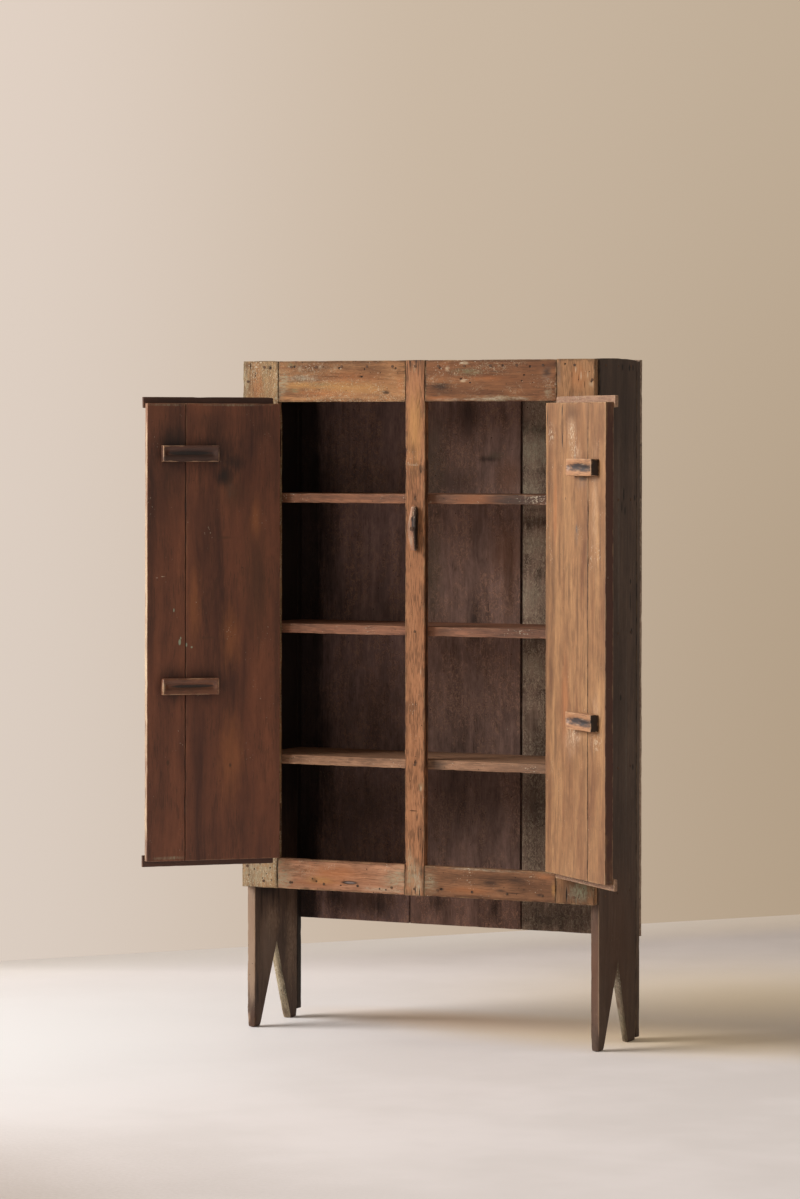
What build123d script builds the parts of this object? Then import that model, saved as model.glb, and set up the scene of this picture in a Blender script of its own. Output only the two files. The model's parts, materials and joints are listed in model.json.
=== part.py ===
"""Trastero: a tall plank cupboard with two ledged doors, standing on notched side boards.

Units are millimetres.  +Z is up, the front faces -Y and +X is to the right of someone who
faces the front.  The origin is on the floor, under the middle of the face frame, half way
between the foremost and the rearmost point of the cupboard as it stands with its doors open.
"""
from build123d import *
from math import cos, radians, sin
import os

# ---------------------------------------------------------------- driving sizes
# How far a cutting shape reaches past the face that it cuts.
cut_margin = 1.0

# Face frame: two outer stiles, a centre stile and four short rails, all of one thickness.
overall_height = 1700.0
frame_width = 976.0
frame_thickness = 22.0
frame_foot_height = 361.5
stile_width = 103.0
centre_stile_width = 55.0
top_rail_height = 104.5
bottom_rail_height = 77.0

# Side boards: each is a wide board and a narrow strip behind it.  The wide board runs to the
# floor, where a notch leaves a front and a rear foot.
side_thickness = 22.0
side_board_depth = 235.0
rear_strip_depth = 22.5
strip_seam = 0.5
carcass_shift = 4.0
side_crown = 3.0
side_rear_drop = 1.5
left_strip_foot_gap = 20.0
right_strip_foot_gap = 6.0
notch_height = 208.0
front_foot_depth = 28.0
rear_foot_depth = 35.0
notch_peak_from_front = 120.0
left_notch_bevel = 0.0
right_notch_bevel = 18.0
toe_cut_depth = 5.0
toe_cut_height = 14.0
heel_cut_depth = 11.0
heel_cut_height = 12.0

# Carcass boards between the sides.
top_board_thickness = 23.0
top_board_drop = 4.0
bottom_board_thickness = 22.0
bottom_board_lift = 6.0
shelf_thickness = 24.0
housing_depth = 5.0
housing_gap = 0.2
bottom_bay_height = 287.0
lower_bay_height = 309.0
upper_bay_height = 307.0

# Back: three upright boards nailed across the rear edges.
back_thickness = 13.5
back_hang = 105.5
left_back_width = 334.0
right_back_width = 325.0
back_seam = 2.0
back_top_rise = 2.0

# Doors: two upright boards each, held by two battens outside and two cleats inside.
door_thickness = 22.0
door_hinge_gap = 2.0
door_free_gap = 7.0
door_top_gap = 4.0
door_bottom_gap = 3.0
door_face_gap = 0.3
door_seam = 0.8
narrow_board_width = 100.0
left_door_open_angle = 136.0
right_door_open_angle = 138.0
door_stop_angle = 165.0

batten_height = 30.0
batten_thickness = 10.0
batten_rail_lap = 12.5
batten_hinge_inset = 12.0
batten_free_reach = 5.0

cleat_length = 146.0
cleat_height = 42.0
cleat_thickness = 22.0
cleat_seam_offset = 9.0
cleat_edge_cut = 6.0
cleat_end_cut = 7.0
cleat_groove_width = 15.0
cleat_groove_depth = 6.0
left_upper_cleat_drop = 126.5
left_lower_cleat_drop = 711.0
right_upper_cleat_drop = 156.5
right_lower_cleat_drop = 767.0

# Butt hinges, two to a door, let into the edges of the stile and the door.
hinge_height = 70.0
hinge_inset = 100.0
hinge_leaf_depth = 15.0
hinge_leaf_thickness = 1.6
knuckle_radius = 3.6
knuckle_gap = 0.3
knuckle_clearance = 0.4
pin_radius = 1.8
pin_clearance = 0.05
pin_stand_off = 4.2
pin_head_height = 1.5
pin_head_radius = 3.0
leaf_pocket_gap = 0.1

# Turn button on the centre stile.
button_length = 111.0
button_middle_width = 24.0
button_top_width = 15.0
button_bottom_width = 19.0
button_thickness = 18.0
button_edge_cut = 3.5
button_gap = 0.8
button_height = 1279.5
button_pin_radius = 2.2
button_pin_length = 34.0
button_pin_head_radius = 4.5
button_pin_head_thickness = 1.5
button_head_gap = 0.3

# Nails.  A proud head stands that far off the wood.
frame_nail = dict(head_radius=3.4, head_thickness=1.5, radius=1.7, length=52.0, proud=0.6)
back_nail = dict(head_radius=3.0, head_thickness=1.2, radius=1.4, length=38.0, proud=0.5)
batten_nail = dict(head_radius=2.8, head_thickness=1.2, radius=1.3, length=26.0, proud=0.5)
cleat_nail = dict(head_radius=3.0, head_thickness=1.2, radius=1.4, length=36.0, proud=0.4)
leaf_screw = dict(head_radius=2.9, head_thickness=1.0, radius=1.5, length=17.0, proud=0.0)
nail_clearance = 0.1
rail_nail_inset = 36.0
rail_nails = 5
bottom_rail_nails = 4
stile_nails = 6
side_nails = 3
side_nail_inset = 38.0
back_nail_inset = 40.0
batten_nail_inset = 22.0
cleat_nail_inset = 20.0
cleat_nail_spread = 11.0
leaf_screw_inset = 12.0
leaf_screws = 3

# ---------------------------------------------------------------- sizes that follow
carcass_depth = side_board_depth + strip_seam + rear_strip_depth
opening_width = (frame_width - 2 * stile_width - centre_stile_width) / 2
opening_bottom = frame_foot_height + bottom_rail_height
opening_top = overall_height - top_rail_height
door_width = opening_width - door_hinge_gap - door_free_gap
wide_board_width = door_width - narrow_board_width - door_seam
door_bottom = opening_bottom + door_bottom_gap
door_top = opening_top - door_top_gap

# How far the open left door's free edge stands in front of the frame.
pin_to_edge = door_hinge_gap / 2
pin_to_face = pin_stand_off - door_face_gap
open_left = radians(left_door_open_angle)
door_reach = (
    pin_stand_off
    + (pin_to_edge + door_width) * sin(open_left)
    - (pin_to_face + door_thickness) * cos(open_left)
)
front_y = (door_reach - frame_thickness - carcass_depth - back_thickness) / 2
frame_back_y = front_y + frame_thickness
strip_y = frame_back_y + side_board_depth + strip_seam
carcass_back_y = frame_back_y + carcass_depth
pin_y = front_y - pin_stand_off

frame_left = -frame_width / 2
frame_right = frame_width / 2
carcass_left = frame_left + carcass_shift
carcass_right = frame_right + carcass_shift
inner_left = carcass_left + side_thickness
inner_right = carcass_right - side_thickness

bottom_board_z = frame_foot_height + bottom_board_lift
lower_shelf_z = bottom_board_z + bottom_board_thickness + bottom_bay_height
middle_shelf_z = lower_shelf_z + shelf_thickness + lower_bay_height
upper_shelf_z = middle_shelf_z + shelf_thickness + upper_bay_height
top_board_z = overall_height - top_board_drop - top_board_thickness
back_bottom = frame_foot_height - back_hang
back_top = overall_height + back_top_rise

# Every board that runs between the sides, with its lower face and its thickness.
cross_boards = {
    "top_board": (top_board_z, top_board_thickness),
    "upper_shelf": (upper_shelf_z, shelf_thickness),
    "middle_shelf": (middle_shelf_z, shelf_thickness),
    "lower_shelf": (lower_shelf_z, shelf_thickness),
    "bottom_board": (bottom_board_z, bottom_board_thickness),
}


# ---------------------------------------------------------------- helpers
def block(x0, x1, y0, y1, z0, z1):
    """A board given by its lowest and highest coordinates."""
    middle = ((x0 + x1) / 2, (y0 + y1) / 2, (z0 + z1) / 2)
    return Pos(*middle) * Box(abs(x1 - x0), abs(y1 - y0), abs(z1 - z0))


def spread(first, last, count):
    """Evenly spaced places from first to last."""
    if count == 1:
        return [(first + last) / 2]
    return [first + (last - first) * i / (count - 1) for i in range(count)]


def nail(point, direction, kind):
    """A round nail driven at a point of the surface, along a direction into the wood."""
    at = Plane(origin=point, z_dir=direction)
    floor = (Align.CENTER, Align.CENTER, Align.MIN)
    head = Cylinder(kind["head_radius"], kind["head_thickness"], align=floor)
    shank = Cylinder(kind["radius"], kind["length"], align=floor)
    return at * (Pos(0, 0, -kind["proud"]) * (head + shank))


def nail_hole(point, direction, kind):
    """The hole that the nail fills, with a little room all round it."""
    at = Plane(origin=point, z_dir=direction)
    floor = (Align.CENTER, Align.CENTER, Align.MIN)
    sink = kind["head_thickness"] - kind["proud"]
    head = Cylinder(kind["head_radius"] + nail_clearance, 2 * sink)
    shank_length = kind["length"] - kind["proud"] + nail_clearance
    shank = Cylinder(kind["radius"] + nail_clearance, shank_length, align=floor)
    return at * (head + shank)


def boxes_meet(a, b):
    """Whether the bounding boxes of two shapes share some space."""
    p = a.bounding_box()
    q = b.bounding_box()
    return (
        p.min.X < q.max.X and q.min.X < p.max.X
        and p.min.Y < q.max.Y and q.min.Y < p.max.Y
        and p.min.Z < q.max.Z and q.min.Z < p.max.Z
    )


def drive(pieces, group, places, kind):
    """Drill the pieces for nails of one kind, and add the nails as one group of solids."""
    holes = [nail_hole(point, direction, kind) for point, direction in places]
    for name, piece in pieces.items():
        cuts = [hole for hole in holes if boxes_meet(piece, hole)]
        if cuts:
            pieces[name] = piece - cuts
    return {group: Compound([nail(point, direction, kind).solid() for point, direction in places])}


# ---------------------------------------------------------------- carcass
def cut_housings(board, outer_x, inner_x, front, rear):
    """Cut the shallow grooves that the boards' ends sit in, across a side's inner face."""
    toward = 1 if inner_x > outer_x else -1
    bottom = inner_x - toward * housing_depth
    for z, thickness in cross_boards.values():
        board -= block(
            bottom, inner_x + toward * cut_margin,
            front - cut_margin, rear + cut_margin,
            z - housing_gap, z + thickness + housing_gap,
        )
    return board


def side_board(outer_x, inner_x, bevel):
    """A side's wide board: crowned top, notched foot, worn toe and heel, housings inside.

    The notch's rear cut is sawn on the slant where there is a bevel, so that the rear foot
    is deeper on its outer face.
    """
    front = frame_back_y
    rear = frame_back_y + side_board_depth
    peak = front + notch_peak_from_front
    rear_top = overall_height - side_rear_drop
    outline = [
        (front, toe_cut_height),
        (front, overall_height),
    ]
    crown_at = ((front + rear) / 2, overall_height + side_crown)
    edge = Polyline(*outline)
    edge += ThreePointArc((front, overall_height), crown_at, (rear, rear_top))
    edge += Polyline(
        (rear, rear_top),
        (rear, heel_cut_height),
        (rear - heel_cut_depth, 0),
        (front + toe_cut_depth, 0),
        (front, toe_cut_height),
    )
    profile = Plane.YZ * make_face(edge)
    low_x = min(outer_x, inner_x)
    board = Pos(low_x, 0, 0) * extrude(profile, side_thickness, dir=(1, 0, 0))

    slope = bevel / (outer_x - inner_x)
    step = cut_margin if outer_x > inner_x else -cut_margin
    ends = []
    for x, past in ((inner_x, -step), (outer_x, step)):
        at = x + past
        rear_foot = rear - rear_foot_depth - slope * (at - inner_x)
        run = rear_foot - peak
        front_run = peak - front - front_foot_depth
        under = cut_margin / notch_height
        corners = [
            (at, peak, notch_height),
            (at, rear_foot + run * under, -cut_margin),
            (at, front + front_foot_depth - front_run * under, -cut_margin),
        ]
        ends.append(Face(Wire.make_polygon([Vector(*c) for c in corners])))
    board -= loft(ends)
    return cut_housings(board, outer_x, inner_x, front, rear)


def rear_strip(outer_x, inner_x, foot_gap):
    """The narrow board that makes up a side's depth, stopping short of the floor."""
    strip = block(outer_x, inner_x, strip_y, carcass_back_y, foot_gap, overall_height - side_rear_drop)
    return cut_housings(strip, outer_x, inner_x, strip_y, carcass_back_y)


def carcass_boards():
    """Sides, top, shelves, bottom and back."""
    pieces = {
        "left_side_board": side_board(carcass_left, inner_left, left_notch_bevel),
        "right_side_board": side_board(carcass_right, inner_right, right_notch_bevel),
        "left_rear_strip": rear_strip(carcass_left, inner_left, left_strip_foot_gap),
        "right_rear_strip": rear_strip(carcass_right, inner_right, right_strip_foot_gap),
    }
    board_left = inner_left - housing_depth + housing_gap
    board_right = inner_right + housing_depth - housing_gap
    for name, (z, thickness) in cross_boards.items():
        pieces[name] = block(board_left, board_right, frame_back_y, carcass_back_y, z, z + thickness)

    middle_left = carcass_left + left_back_width + back_seam
    middle_right = carcass_right - right_back_width - back_seam
    back_edges = {
        "back_board_left": (carcass_left, carcass_left + left_back_width),
        "back_board_middle": (middle_left, middle_right),
        "back_board_right": (carcass_right - right_back_width, carcass_right),
    }
    rear = carcass_back_y + back_thickness
    for name, (x0, x1) in back_edges.items():
        pieces[name] = block(x0, x1, carcass_back_y, rear, back_bottom, back_top)
    return pieces, back_edges


def face_frame():
    """Three stiles from the frame's foot to the top, with short rails between them."""
    rows = {
        "top_rail": (opening_top, overall_height),
        "bottom_rail": (frame_foot_height, opening_bottom),
    }
    columns = {
        "left": (frame_left + stile_width, -centre_stile_width / 2),
        "right": (centre_stile_width / 2, frame_right - stile_width),
    }
    stiles = {
        "left_stile": (frame_left, frame_left + stile_width),
        "centre_stile": (-centre_stile_width / 2, centre_stile_width / 2),
        "right_stile": (frame_right - stile_width, frame_right),
    }
    pieces = {}
    for name, (x0, x1) in stiles.items():
        pieces[name] = block(x0, x1, front_y, frame_back_y, frame_foot_height, overall_height)
    for hand, (x0, x1) in columns.items():
        for name, (z0, z1) in rows.items():
            pieces[f"{hand}_{name}"] = block(x0, x1, front_y, frame_back_y, z0, z1)
    return pieces, columns


def frame_nail_places(columns):
    """Nails through the frame into the edges of the sides and of the boards between them."""
    into = (0, 1, 0)
    centres = [z + thickness / 2 for z, thickness in cross_boards.values()]
    top_z, bottom_z = centres[0], centres[-1]
    places = []
    for x0, x1 in columns.values():
        for x in spread(x0 + rail_nail_inset, x1 - rail_nail_inset, rail_nails):
            places.append(((x, front_y, top_z), into))
        for x in spread(x0 + rail_nail_inset, x1 - rail_nail_inset, bottom_rail_nails):
            places.append(((x, front_y, bottom_z), into))
    for z in centres:
        places.append(((0, front_y, z), into))
    for inner, edge in ((inner_left, 1), (inner_right, -1)):
        for z in (top_z, bottom_z):
            places.append(((inner + edge * rail_nail_inset, front_y, z), into))
        for z in spread(bottom_z + rail_nail_inset, top_z - rail_nail_inset, stile_nails):
            places.append(((inner - edge * side_thickness / 2, front_y, z), into))
    return places


def side_nail_places():
    """Nails through each side into the ends of the boards between the sides."""
    places = []
    first = frame_back_y + side_nail_inset
    last = frame_back_y + side_board_depth - side_nail_inset
    for x, into in ((carcass_left, (1, 0, 0)), (carcass_right, (-1, 0, 0))):
        for z, thickness in cross_boards.values():
            for y in spread(first, last, side_nails):
                places.append(((x, y, z + thickness / 2), into))
    return places


def back_nail_places(back_edges):
    """Two nails through each back board into every board between the sides."""
    places = []
    for x0, x1 in back_edges.values():
        for z, thickness in cross_boards.values():
            for x in (x0 + back_nail_inset, x1 - back_nail_inset):
                rear = carcass_back_y + back_thickness
                places.append(((x, rear, z + thickness / 2), (0, -1, 0)))
    return places


# ---------------------------------------------------------------- hinges
def hinge_levels():
    """The height of each hinge's middle."""
    return (door_bottom + hinge_inset, door_top - hinge_inset)


def knuckle(pin_x, z0, z1):
    """One barrel of a hinge, bored for its pin."""
    middle = Pos(pin_x, pin_y, (z0 + z1) / 2)
    barrel = Cylinder(knuckle_radius, z1 - z0)
    bore = Cylinder(pin_radius + pin_clearance, z1 - z0)
    return middle * (barrel - bore)


def hinge_leaf(pin_x, wood, centre_z, thirds):
    """A leaf on the wood's side of the pin, with a barrel on each of the named thirds."""
    third = hinge_height / 3
    bottom = centre_z - hinge_height / 2
    near = pin_x + wood * pin_to_edge
    far = near + wood * hinge_leaf_thickness
    plate_y = pin_y + knuckle_radius + knuckle_clearance
    leaf = block(near, far, plate_y, front_y + hinge_leaf_depth, bottom, bottom + hinge_height)
    for i in thirds:
        z0 = bottom + i * third + (knuckle_gap / 2 if i > 0 else 0)
        z1 = bottom + (i + 1) * third - (knuckle_gap / 2 if i < 2 else 0)
        web = block(near, far, pin_y, plate_y, z0, z1)
        web -= Pos(pin_x, pin_y, (z0 + z1) / 2) * Cylinder(pin_radius + pin_clearance, z1 - z0)
        leaf += web + knuckle(pin_x, z0, z1)
    return leaf.solid()


def leaf_pocket(pin_x, wood, centre_z):
    """The recess in the wood that a leaf lies in."""
    near = pin_x + wood * (pin_to_edge - leaf_pocket_gap)
    far = pin_x + wood * (pin_to_edge + hinge_leaf_thickness + leaf_pocket_gap)
    half = hinge_height / 2 + leaf_pocket_gap
    deep = front_y + hinge_leaf_depth + leaf_pocket_gap
    return block(near, far, pin_y, deep, centre_z - half, centre_z + half)


def hinge_pin(pin_x, centre_z):
    """The pin, with a small button head resting on the top barrel."""
    floor = (Align.CENTER, Align.CENTER, Align.MIN)
    shank = Pos(pin_x, pin_y, centre_z - hinge_height / 2) * Cylinder(
        pin_radius, hinge_height, align=floor
    )
    head = Pos(pin_x, pin_y, centre_z + hinge_height / 2) * Cylinder(
        pin_head_radius, pin_head_height, align=floor
    )
    return (shank + head).solid()


def leaf_screw_places(pin_x, wood):
    """Screws through each leaf into the wood behind it."""
    places = []
    x = pin_x + wood * pin_to_edge
    y = (front_y + hinge_leaf_depth + pin_y + knuckle_radius + knuckle_clearance) / 2
    for centre_z in hinge_levels():
        low = centre_z - hinge_height / 2 + leaf_screw_inset
        high = centre_z + hinge_height / 2 - leaf_screw_inset
        for z in spread(low, high, leaf_screws):
            places.append(((x, y, z), (wood, 0, 0)))
    return places


# ---------------------------------------------------------------- doors
def cleat(x0, x1, face_y, centre_z):
    """A cross cleat on the door's inner face, with cut edges and a groove along its middle."""
    half = cleat_height / 2
    proud = face_y + cleat_thickness
    groove = cleat_groove_width / 2
    section = [
        (face_y, -half),
        (proud - cleat_edge_cut, -half),
        (proud, -half + cleat_edge_cut),
        (proud, -groove),
        (proud - cleat_groove_depth, 0),
        (proud, groove),
        (proud, half - cleat_edge_cut),
        (proud - cleat_edge_cut, half),
        (face_y, half),
    ]
    low, high = min(x0, x1), max(x0, x1)
    profile = Plane.YZ * make_face(Polyline(*section, close=True))
    bar = Pos(low, 0, centre_z) * extrude(profile, high - low, dir=(1, 0, 0))
    for x, inward in ((low, 1), (high, -1)):
        corner = [
            (x - inward * cut_margin, proud + cut_margin),
            (x + inward * cleat_end_cut, proud + cut_margin),
            (x + inward * cleat_end_cut, proud),
            (x, proud - cleat_end_cut),
            (x - inward * cut_margin, proud - cleat_end_cut),
        ]
        profile = make_face(Polyline(*corner, close=True))
        wedge = extrude(profile, cleat_height + 2 * cut_margin, dir=(0, 0, 1))
        bar -= Pos(0, 0, centre_z - half - cut_margin) * wedge
    return bar


def door(hand, edge_x, along, cleat_drops, open_turn):
    """One door, made shut and then swung open about its hinge pins.

    edge_x is the stile's edge that carries the hinges, and along points from it into the
    opening.
    """
    pin_x = edge_x + along * pin_to_edge
    face_y = front_y - door_face_gap
    inner_y = face_y + door_thickness

    def across(a):
        return edge_x + along * (door_hinge_gap + a)

    wood = {
        "wide_board": block(across(0), across(wide_board_width), face_y, inner_y, door_bottom, door_top),
        "narrow_board": block(
            across(wide_board_width + door_seam), across(door_width),
            face_y, inner_y, door_bottom, door_top,
        ),
    }
    batten_levels = {
        "top_batten": opening_top + batten_rail_lap - batten_height,
        "bottom_batten": opening_bottom - batten_rail_lap,
    }
    batten_ends = (batten_hinge_inset, door_width + batten_free_reach)
    for name, z in batten_levels.items():
        wood[name] = block(
            across(batten_ends[0]), across(batten_ends[1]),
            face_y - batten_thickness, face_y, z, z + batten_height,
        )
    cleat_middle = wide_board_width + door_seam / 2 - cleat_seam_offset
    cleat_ends = (cleat_middle - cleat_length / 2, cleat_middle + cleat_length / 2)
    cleat_levels = {}
    for name, drop in zip(("upper_cleat", "lower_cleat"), cleat_drops):
        cleat_levels[name] = door_top - drop
        wood[name] = cleat(across(cleat_ends[0]), across(cleat_ends[1]), inner_y, door_top - drop)

    pieces = {f"{hand}_door_{name}": piece for name, piece in wood.items()}
    for z in hinge_levels():
        board = f"{hand}_door_wide_board"
        pieces[board] = pieces[board] - leaf_pocket(pin_x, along, z)
    leaves = [hinge_leaf(pin_x, along, z, (1,)) for z in hinge_levels()]
    pieces[f"{hand}_hinge_door_leaves"] = Compound(leaves)

    batten_places = []
    for name, z in batten_levels.items():
        if name == "top_batten":
            level = (z + door_top) / 2
        else:
            level = (z + batten_height + door_bottom) / 2
        stops = (
            batten_ends[0] + batten_nail_inset,
            wide_board_width - batten_nail_inset,
            wide_board_width + door_seam + batten_nail_inset,
            door_width - batten_nail_inset,
        )
        for a in (stops[0], (stops[0] + stops[1]) / 2, stops[1], stops[2], stops[3]):
            batten_places.append(((across(a), face_y - batten_thickness, level), (0, 1, 0)))
    cleat_places = []
    for level in cleat_levels.values():
        seam_a = wide_board_width + door_seam / 2
        for a in (cleat_ends[0] + cleat_nail_inset, seam_a - cleat_nail_inset,
                  seam_a + cleat_nail_inset, cleat_ends[1] - cleat_nail_inset):
            lift = cleat_nail_spread if a < seam_a else -cleat_nail_spread
            cleat_places.append(((across(a), face_y, level + lift), (0, 1, 0)))

    nails = drive(pieces, f"{hand}_door_batten_nails", batten_places, batten_nail)
    nails.update(drive(pieces, f"{hand}_door_cleat_nails", cleat_places, cleat_nail))
    screws = leaf_screw_places(pin_x, along)
    nails.update(drive(pieces, f"{hand}_hinge_door_screws", screws, leaf_screw))
    pieces.update(nails)

    pivot = Axis((pin_x, pin_y, 0), (0, 0, 1))
    return {name: piece.rotate(pivot, open_turn) for name, piece in pieces.items()}


def frame_hinges(pieces, hand, edge_x, along):
    """The hinge leaves in a stile's edge, with their pins and screws."""
    pin_x = edge_x + along * pin_to_edge
    stile = f"{hand}_stile"
    for z in hinge_levels():
        pieces[stile] = pieces[stile] - leaf_pocket(pin_x, -along, z)
    leaves = [hinge_leaf(pin_x, -along, z, (0, 2)) for z in hinge_levels()]
    fitted = {stile: pieces[stile], f"{hand}_hinge_frame_leaves": Compound(leaves)}
    places = leaf_screw_places(pin_x, -along)
    screws = drive(fitted, f"{hand}_hinge_frame_screws", places, leaf_screw)
    pieces.update(fitted)
    pieces.update(screws)
    pieces[f"{hand}_hinge_pins"] = Compound([hinge_pin(pin_x, z) for z in hinge_levels()])


# ---------------------------------------------------------------- turn button
def turn_button():
    """A whittled button: widest at its pivot, with its long edges cut off."""
    half = button_length / 2
    middle = button_middle_width / 2
    outline = [
        (-button_top_width / 2, half),
        (button_top_width / 2, half),
        (middle, 0),
        (button_bottom_width / 2, -half),
        (-button_bottom_width / 2, -half),
        (-middle, 0),
    ]
    profile = make_face(Polyline(*outline, close=True))
    bar = extrude(profile, button_thickness)
    front_edges = bar.faces().sort_by(Axis.Z)[-1].edges()
    bar = chamfer(front_edges, button_edge_cut)
    bar -= Cylinder(button_pin_radius + pin_clearance, 3 * button_thickness)
    upright = Plane(origin=(0, front_y - button_gap, button_height), x_dir=(1, 0, 0), z_dir=(0, -1, 0))
    return upright * bar


def button_pin(stile):
    """The nail that the button turns on, and the stile drilled for it."""
    face_y = front_y - button_gap - button_thickness - button_head_gap
    at = Plane(origin=(0, face_y, button_height), z_dir=(0, 1, 0))
    floor = (Align.CENTER, Align.CENTER, Align.MIN)
    shank = Cylinder(button_pin_radius, button_pin_length, align=floor)
    head = Pos(0, 0, -button_pin_head_thickness) * Cylinder(
        button_pin_head_radius, button_pin_head_thickness, align=floor
    )
    hole = Cylinder(button_pin_radius + pin_clearance, button_pin_length + pin_clearance, align=floor)
    return at * (shank + head), stile - at * hole


# ---------------------------------------------------------------- the whole cupboard
def build():
    """Every piece by its name."""
    boards, back_edges = carcass_boards()
    frame, columns = face_frame()
    pieces = {**boards, **frame}

    nails = drive(pieces, "frame_nails", frame_nail_places(columns), frame_nail)
    nails.update(drive(pieces, "side_nails", side_nail_places(), frame_nail))
    nails.update(drive(pieces, "back_nails", back_nail_places(back_edges), back_nail))

    hinge_edges = {
        "left": (frame_left + stile_width, 1),
        "right": (frame_right - stile_width, -1),
    }
    for hand, (edge_x, along) in hinge_edges.items():
        frame_hinges(pieces, hand, edge_x, along)

    pieces["turn_button_pin"], pieces["centre_stile"] = button_pin(pieces["centre_stile"])
    pieces["turn_button"] = turn_button()
    pieces.update(nails)

    drops = {
        "left": (left_upper_cleat_drop, left_lower_cleat_drop),
        "right": (right_upper_cleat_drop, right_lower_cleat_drop),
    }
    turns = {"left": -left_door_open_angle, "right": right_door_open_angle}
    for hand, (edge_x, along) in hinge_edges.items():
        pieces.update(door(hand, edge_x, along, drops[hand], turns[hand]))
    return pieces


def report_joints():
    """Print where the moving parts turn, for the joint axes."""
    left_x = frame_left + stile_width + pin_to_edge
    right_x = frame_right - stile_width - pin_to_edge
    print(f"left hinge axis  x {left_x:.2f} y {pin_y:.2f}")
    print(f"right hinge axis x {right_x:.2f} y {pin_y:.2f}")
    print(f"left door turns  {left_door_open_angle - door_stop_angle:.0f} to {left_door_open_angle:.0f}")
    print(f"right door turns {-right_door_open_angle:.0f} to {door_stop_angle - right_door_open_angle:.0f}")
    print(f"button axis      x 0 y {front_y:.2f} z {button_height:.2f}")
    print(f"front {front_y:.2f} frame back {frame_back_y:.2f} back {carcass_back_y:.2f}")
    print(f"inside x {inner_left:.2f} to {inner_right:.2f}")
    for name, (z, thickness) in cross_boards.items():
        print(f"{name} z {z:.2f} to {z + thickness:.2f}")


if __name__ == "__main__":
    os.makedirs("parts", exist_ok=True)
    for node, shape in build().items():
        export_step(shape, f"parts/{node}.step")
    report_joints()
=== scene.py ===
# %% [markdown]
# # An old plank cupboard
#
# This lesson dresses a cupboard made of planks.  Its solids come ready from a CAD program, with
# every board, nail and hinge in its true place.  They are exact and clean, as a drawing is.  The
# real cupboard is neither: its edges are rubbed round, its face has weathered, and its doors
# shine a little where hands have polished them.  Each board is therefore made again here as a
# worn board of the same size, and each gets a wood of its own.

# %% Load the solids
import json
import math

import bmesh
import bpy
from mathutils import Matrix, Vector, noise


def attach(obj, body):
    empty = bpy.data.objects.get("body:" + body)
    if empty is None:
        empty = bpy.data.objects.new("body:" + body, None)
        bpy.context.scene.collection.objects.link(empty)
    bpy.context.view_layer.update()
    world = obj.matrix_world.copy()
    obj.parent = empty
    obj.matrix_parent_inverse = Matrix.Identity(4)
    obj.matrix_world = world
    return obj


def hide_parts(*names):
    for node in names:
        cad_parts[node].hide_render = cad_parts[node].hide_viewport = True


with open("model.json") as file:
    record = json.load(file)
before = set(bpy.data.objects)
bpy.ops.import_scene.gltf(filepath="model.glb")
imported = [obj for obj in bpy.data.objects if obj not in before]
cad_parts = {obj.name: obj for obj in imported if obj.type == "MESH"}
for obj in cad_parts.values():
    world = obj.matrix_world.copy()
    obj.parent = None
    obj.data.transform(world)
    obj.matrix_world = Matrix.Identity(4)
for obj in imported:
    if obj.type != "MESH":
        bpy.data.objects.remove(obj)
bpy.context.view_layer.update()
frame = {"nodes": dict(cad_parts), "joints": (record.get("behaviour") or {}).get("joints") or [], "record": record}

# %% [markdown]
# ## The camera
#
# The lens is long and stands at eye height, a little over ten metres away and to the right of
# the cupboard.  Upright edges stay upright because the camera is level: the cupboard is brought
# into the lower half of the view with the lens shift, as an architect's camera does it, and
# not by tilting the camera down.

# %% Set the camera
def new_object(name, data):
    """An object with this data, in the scene."""
    thing = bpy.data.objects.new(name, data)
    bpy.context.scene.collection.objects.link(thing)
    return thing


camera_place = Vector((4.4825, -9.3070, 1.494))
camera_turn = math.radians(25.96)
camera_roll = math.radians(0.09)

camera = new_object("camera", bpy.data.cameras.new("camera"))
camera.data.sensor_width = 36.0
camera.data.lens = 124.0
camera.data.shift_y = -0.131
level = Matrix.Rotation(camera_turn, 4, "Z") @ Matrix.Rotation(math.radians(90), 4, "X")
camera.matrix_world = Matrix.Translation(camera_place) @ level @ Matrix.Rotation(camera_roll, 4, "Z")
bpy.context.scene.camera = camera
print("camera", round(camera_place.length, 2), "m from the cupboard")

# %% [markdown]
# ## A short way to write nodes
#
# A material is a graph of small steps.  Clicking it together is slow to read back, so the graph
# is written here with a few helpers.  `Steps` wraps one node tree: each method adds one node,
# joins what goes in, and returns what comes out.

# %% Node helpers
def tone(code):
    """A colour written as six hexadecimal digits, as the linear values that Blender mixes."""
    parts = [int(code[i:i + 2], 16) / 255 for i in (0, 2, 4)]
    linear = [c / 12.92 if c <= 0.04045 else ((c + 0.055) / 1.055) ** 2.4 for c in parts]
    return (*linear, 1.0)


# A mix node has sockets for each kind of value; these are the ones for colours.
COLOURS_OF_MIX, RESULT_OF_MIX = (6, 7), 2


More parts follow.
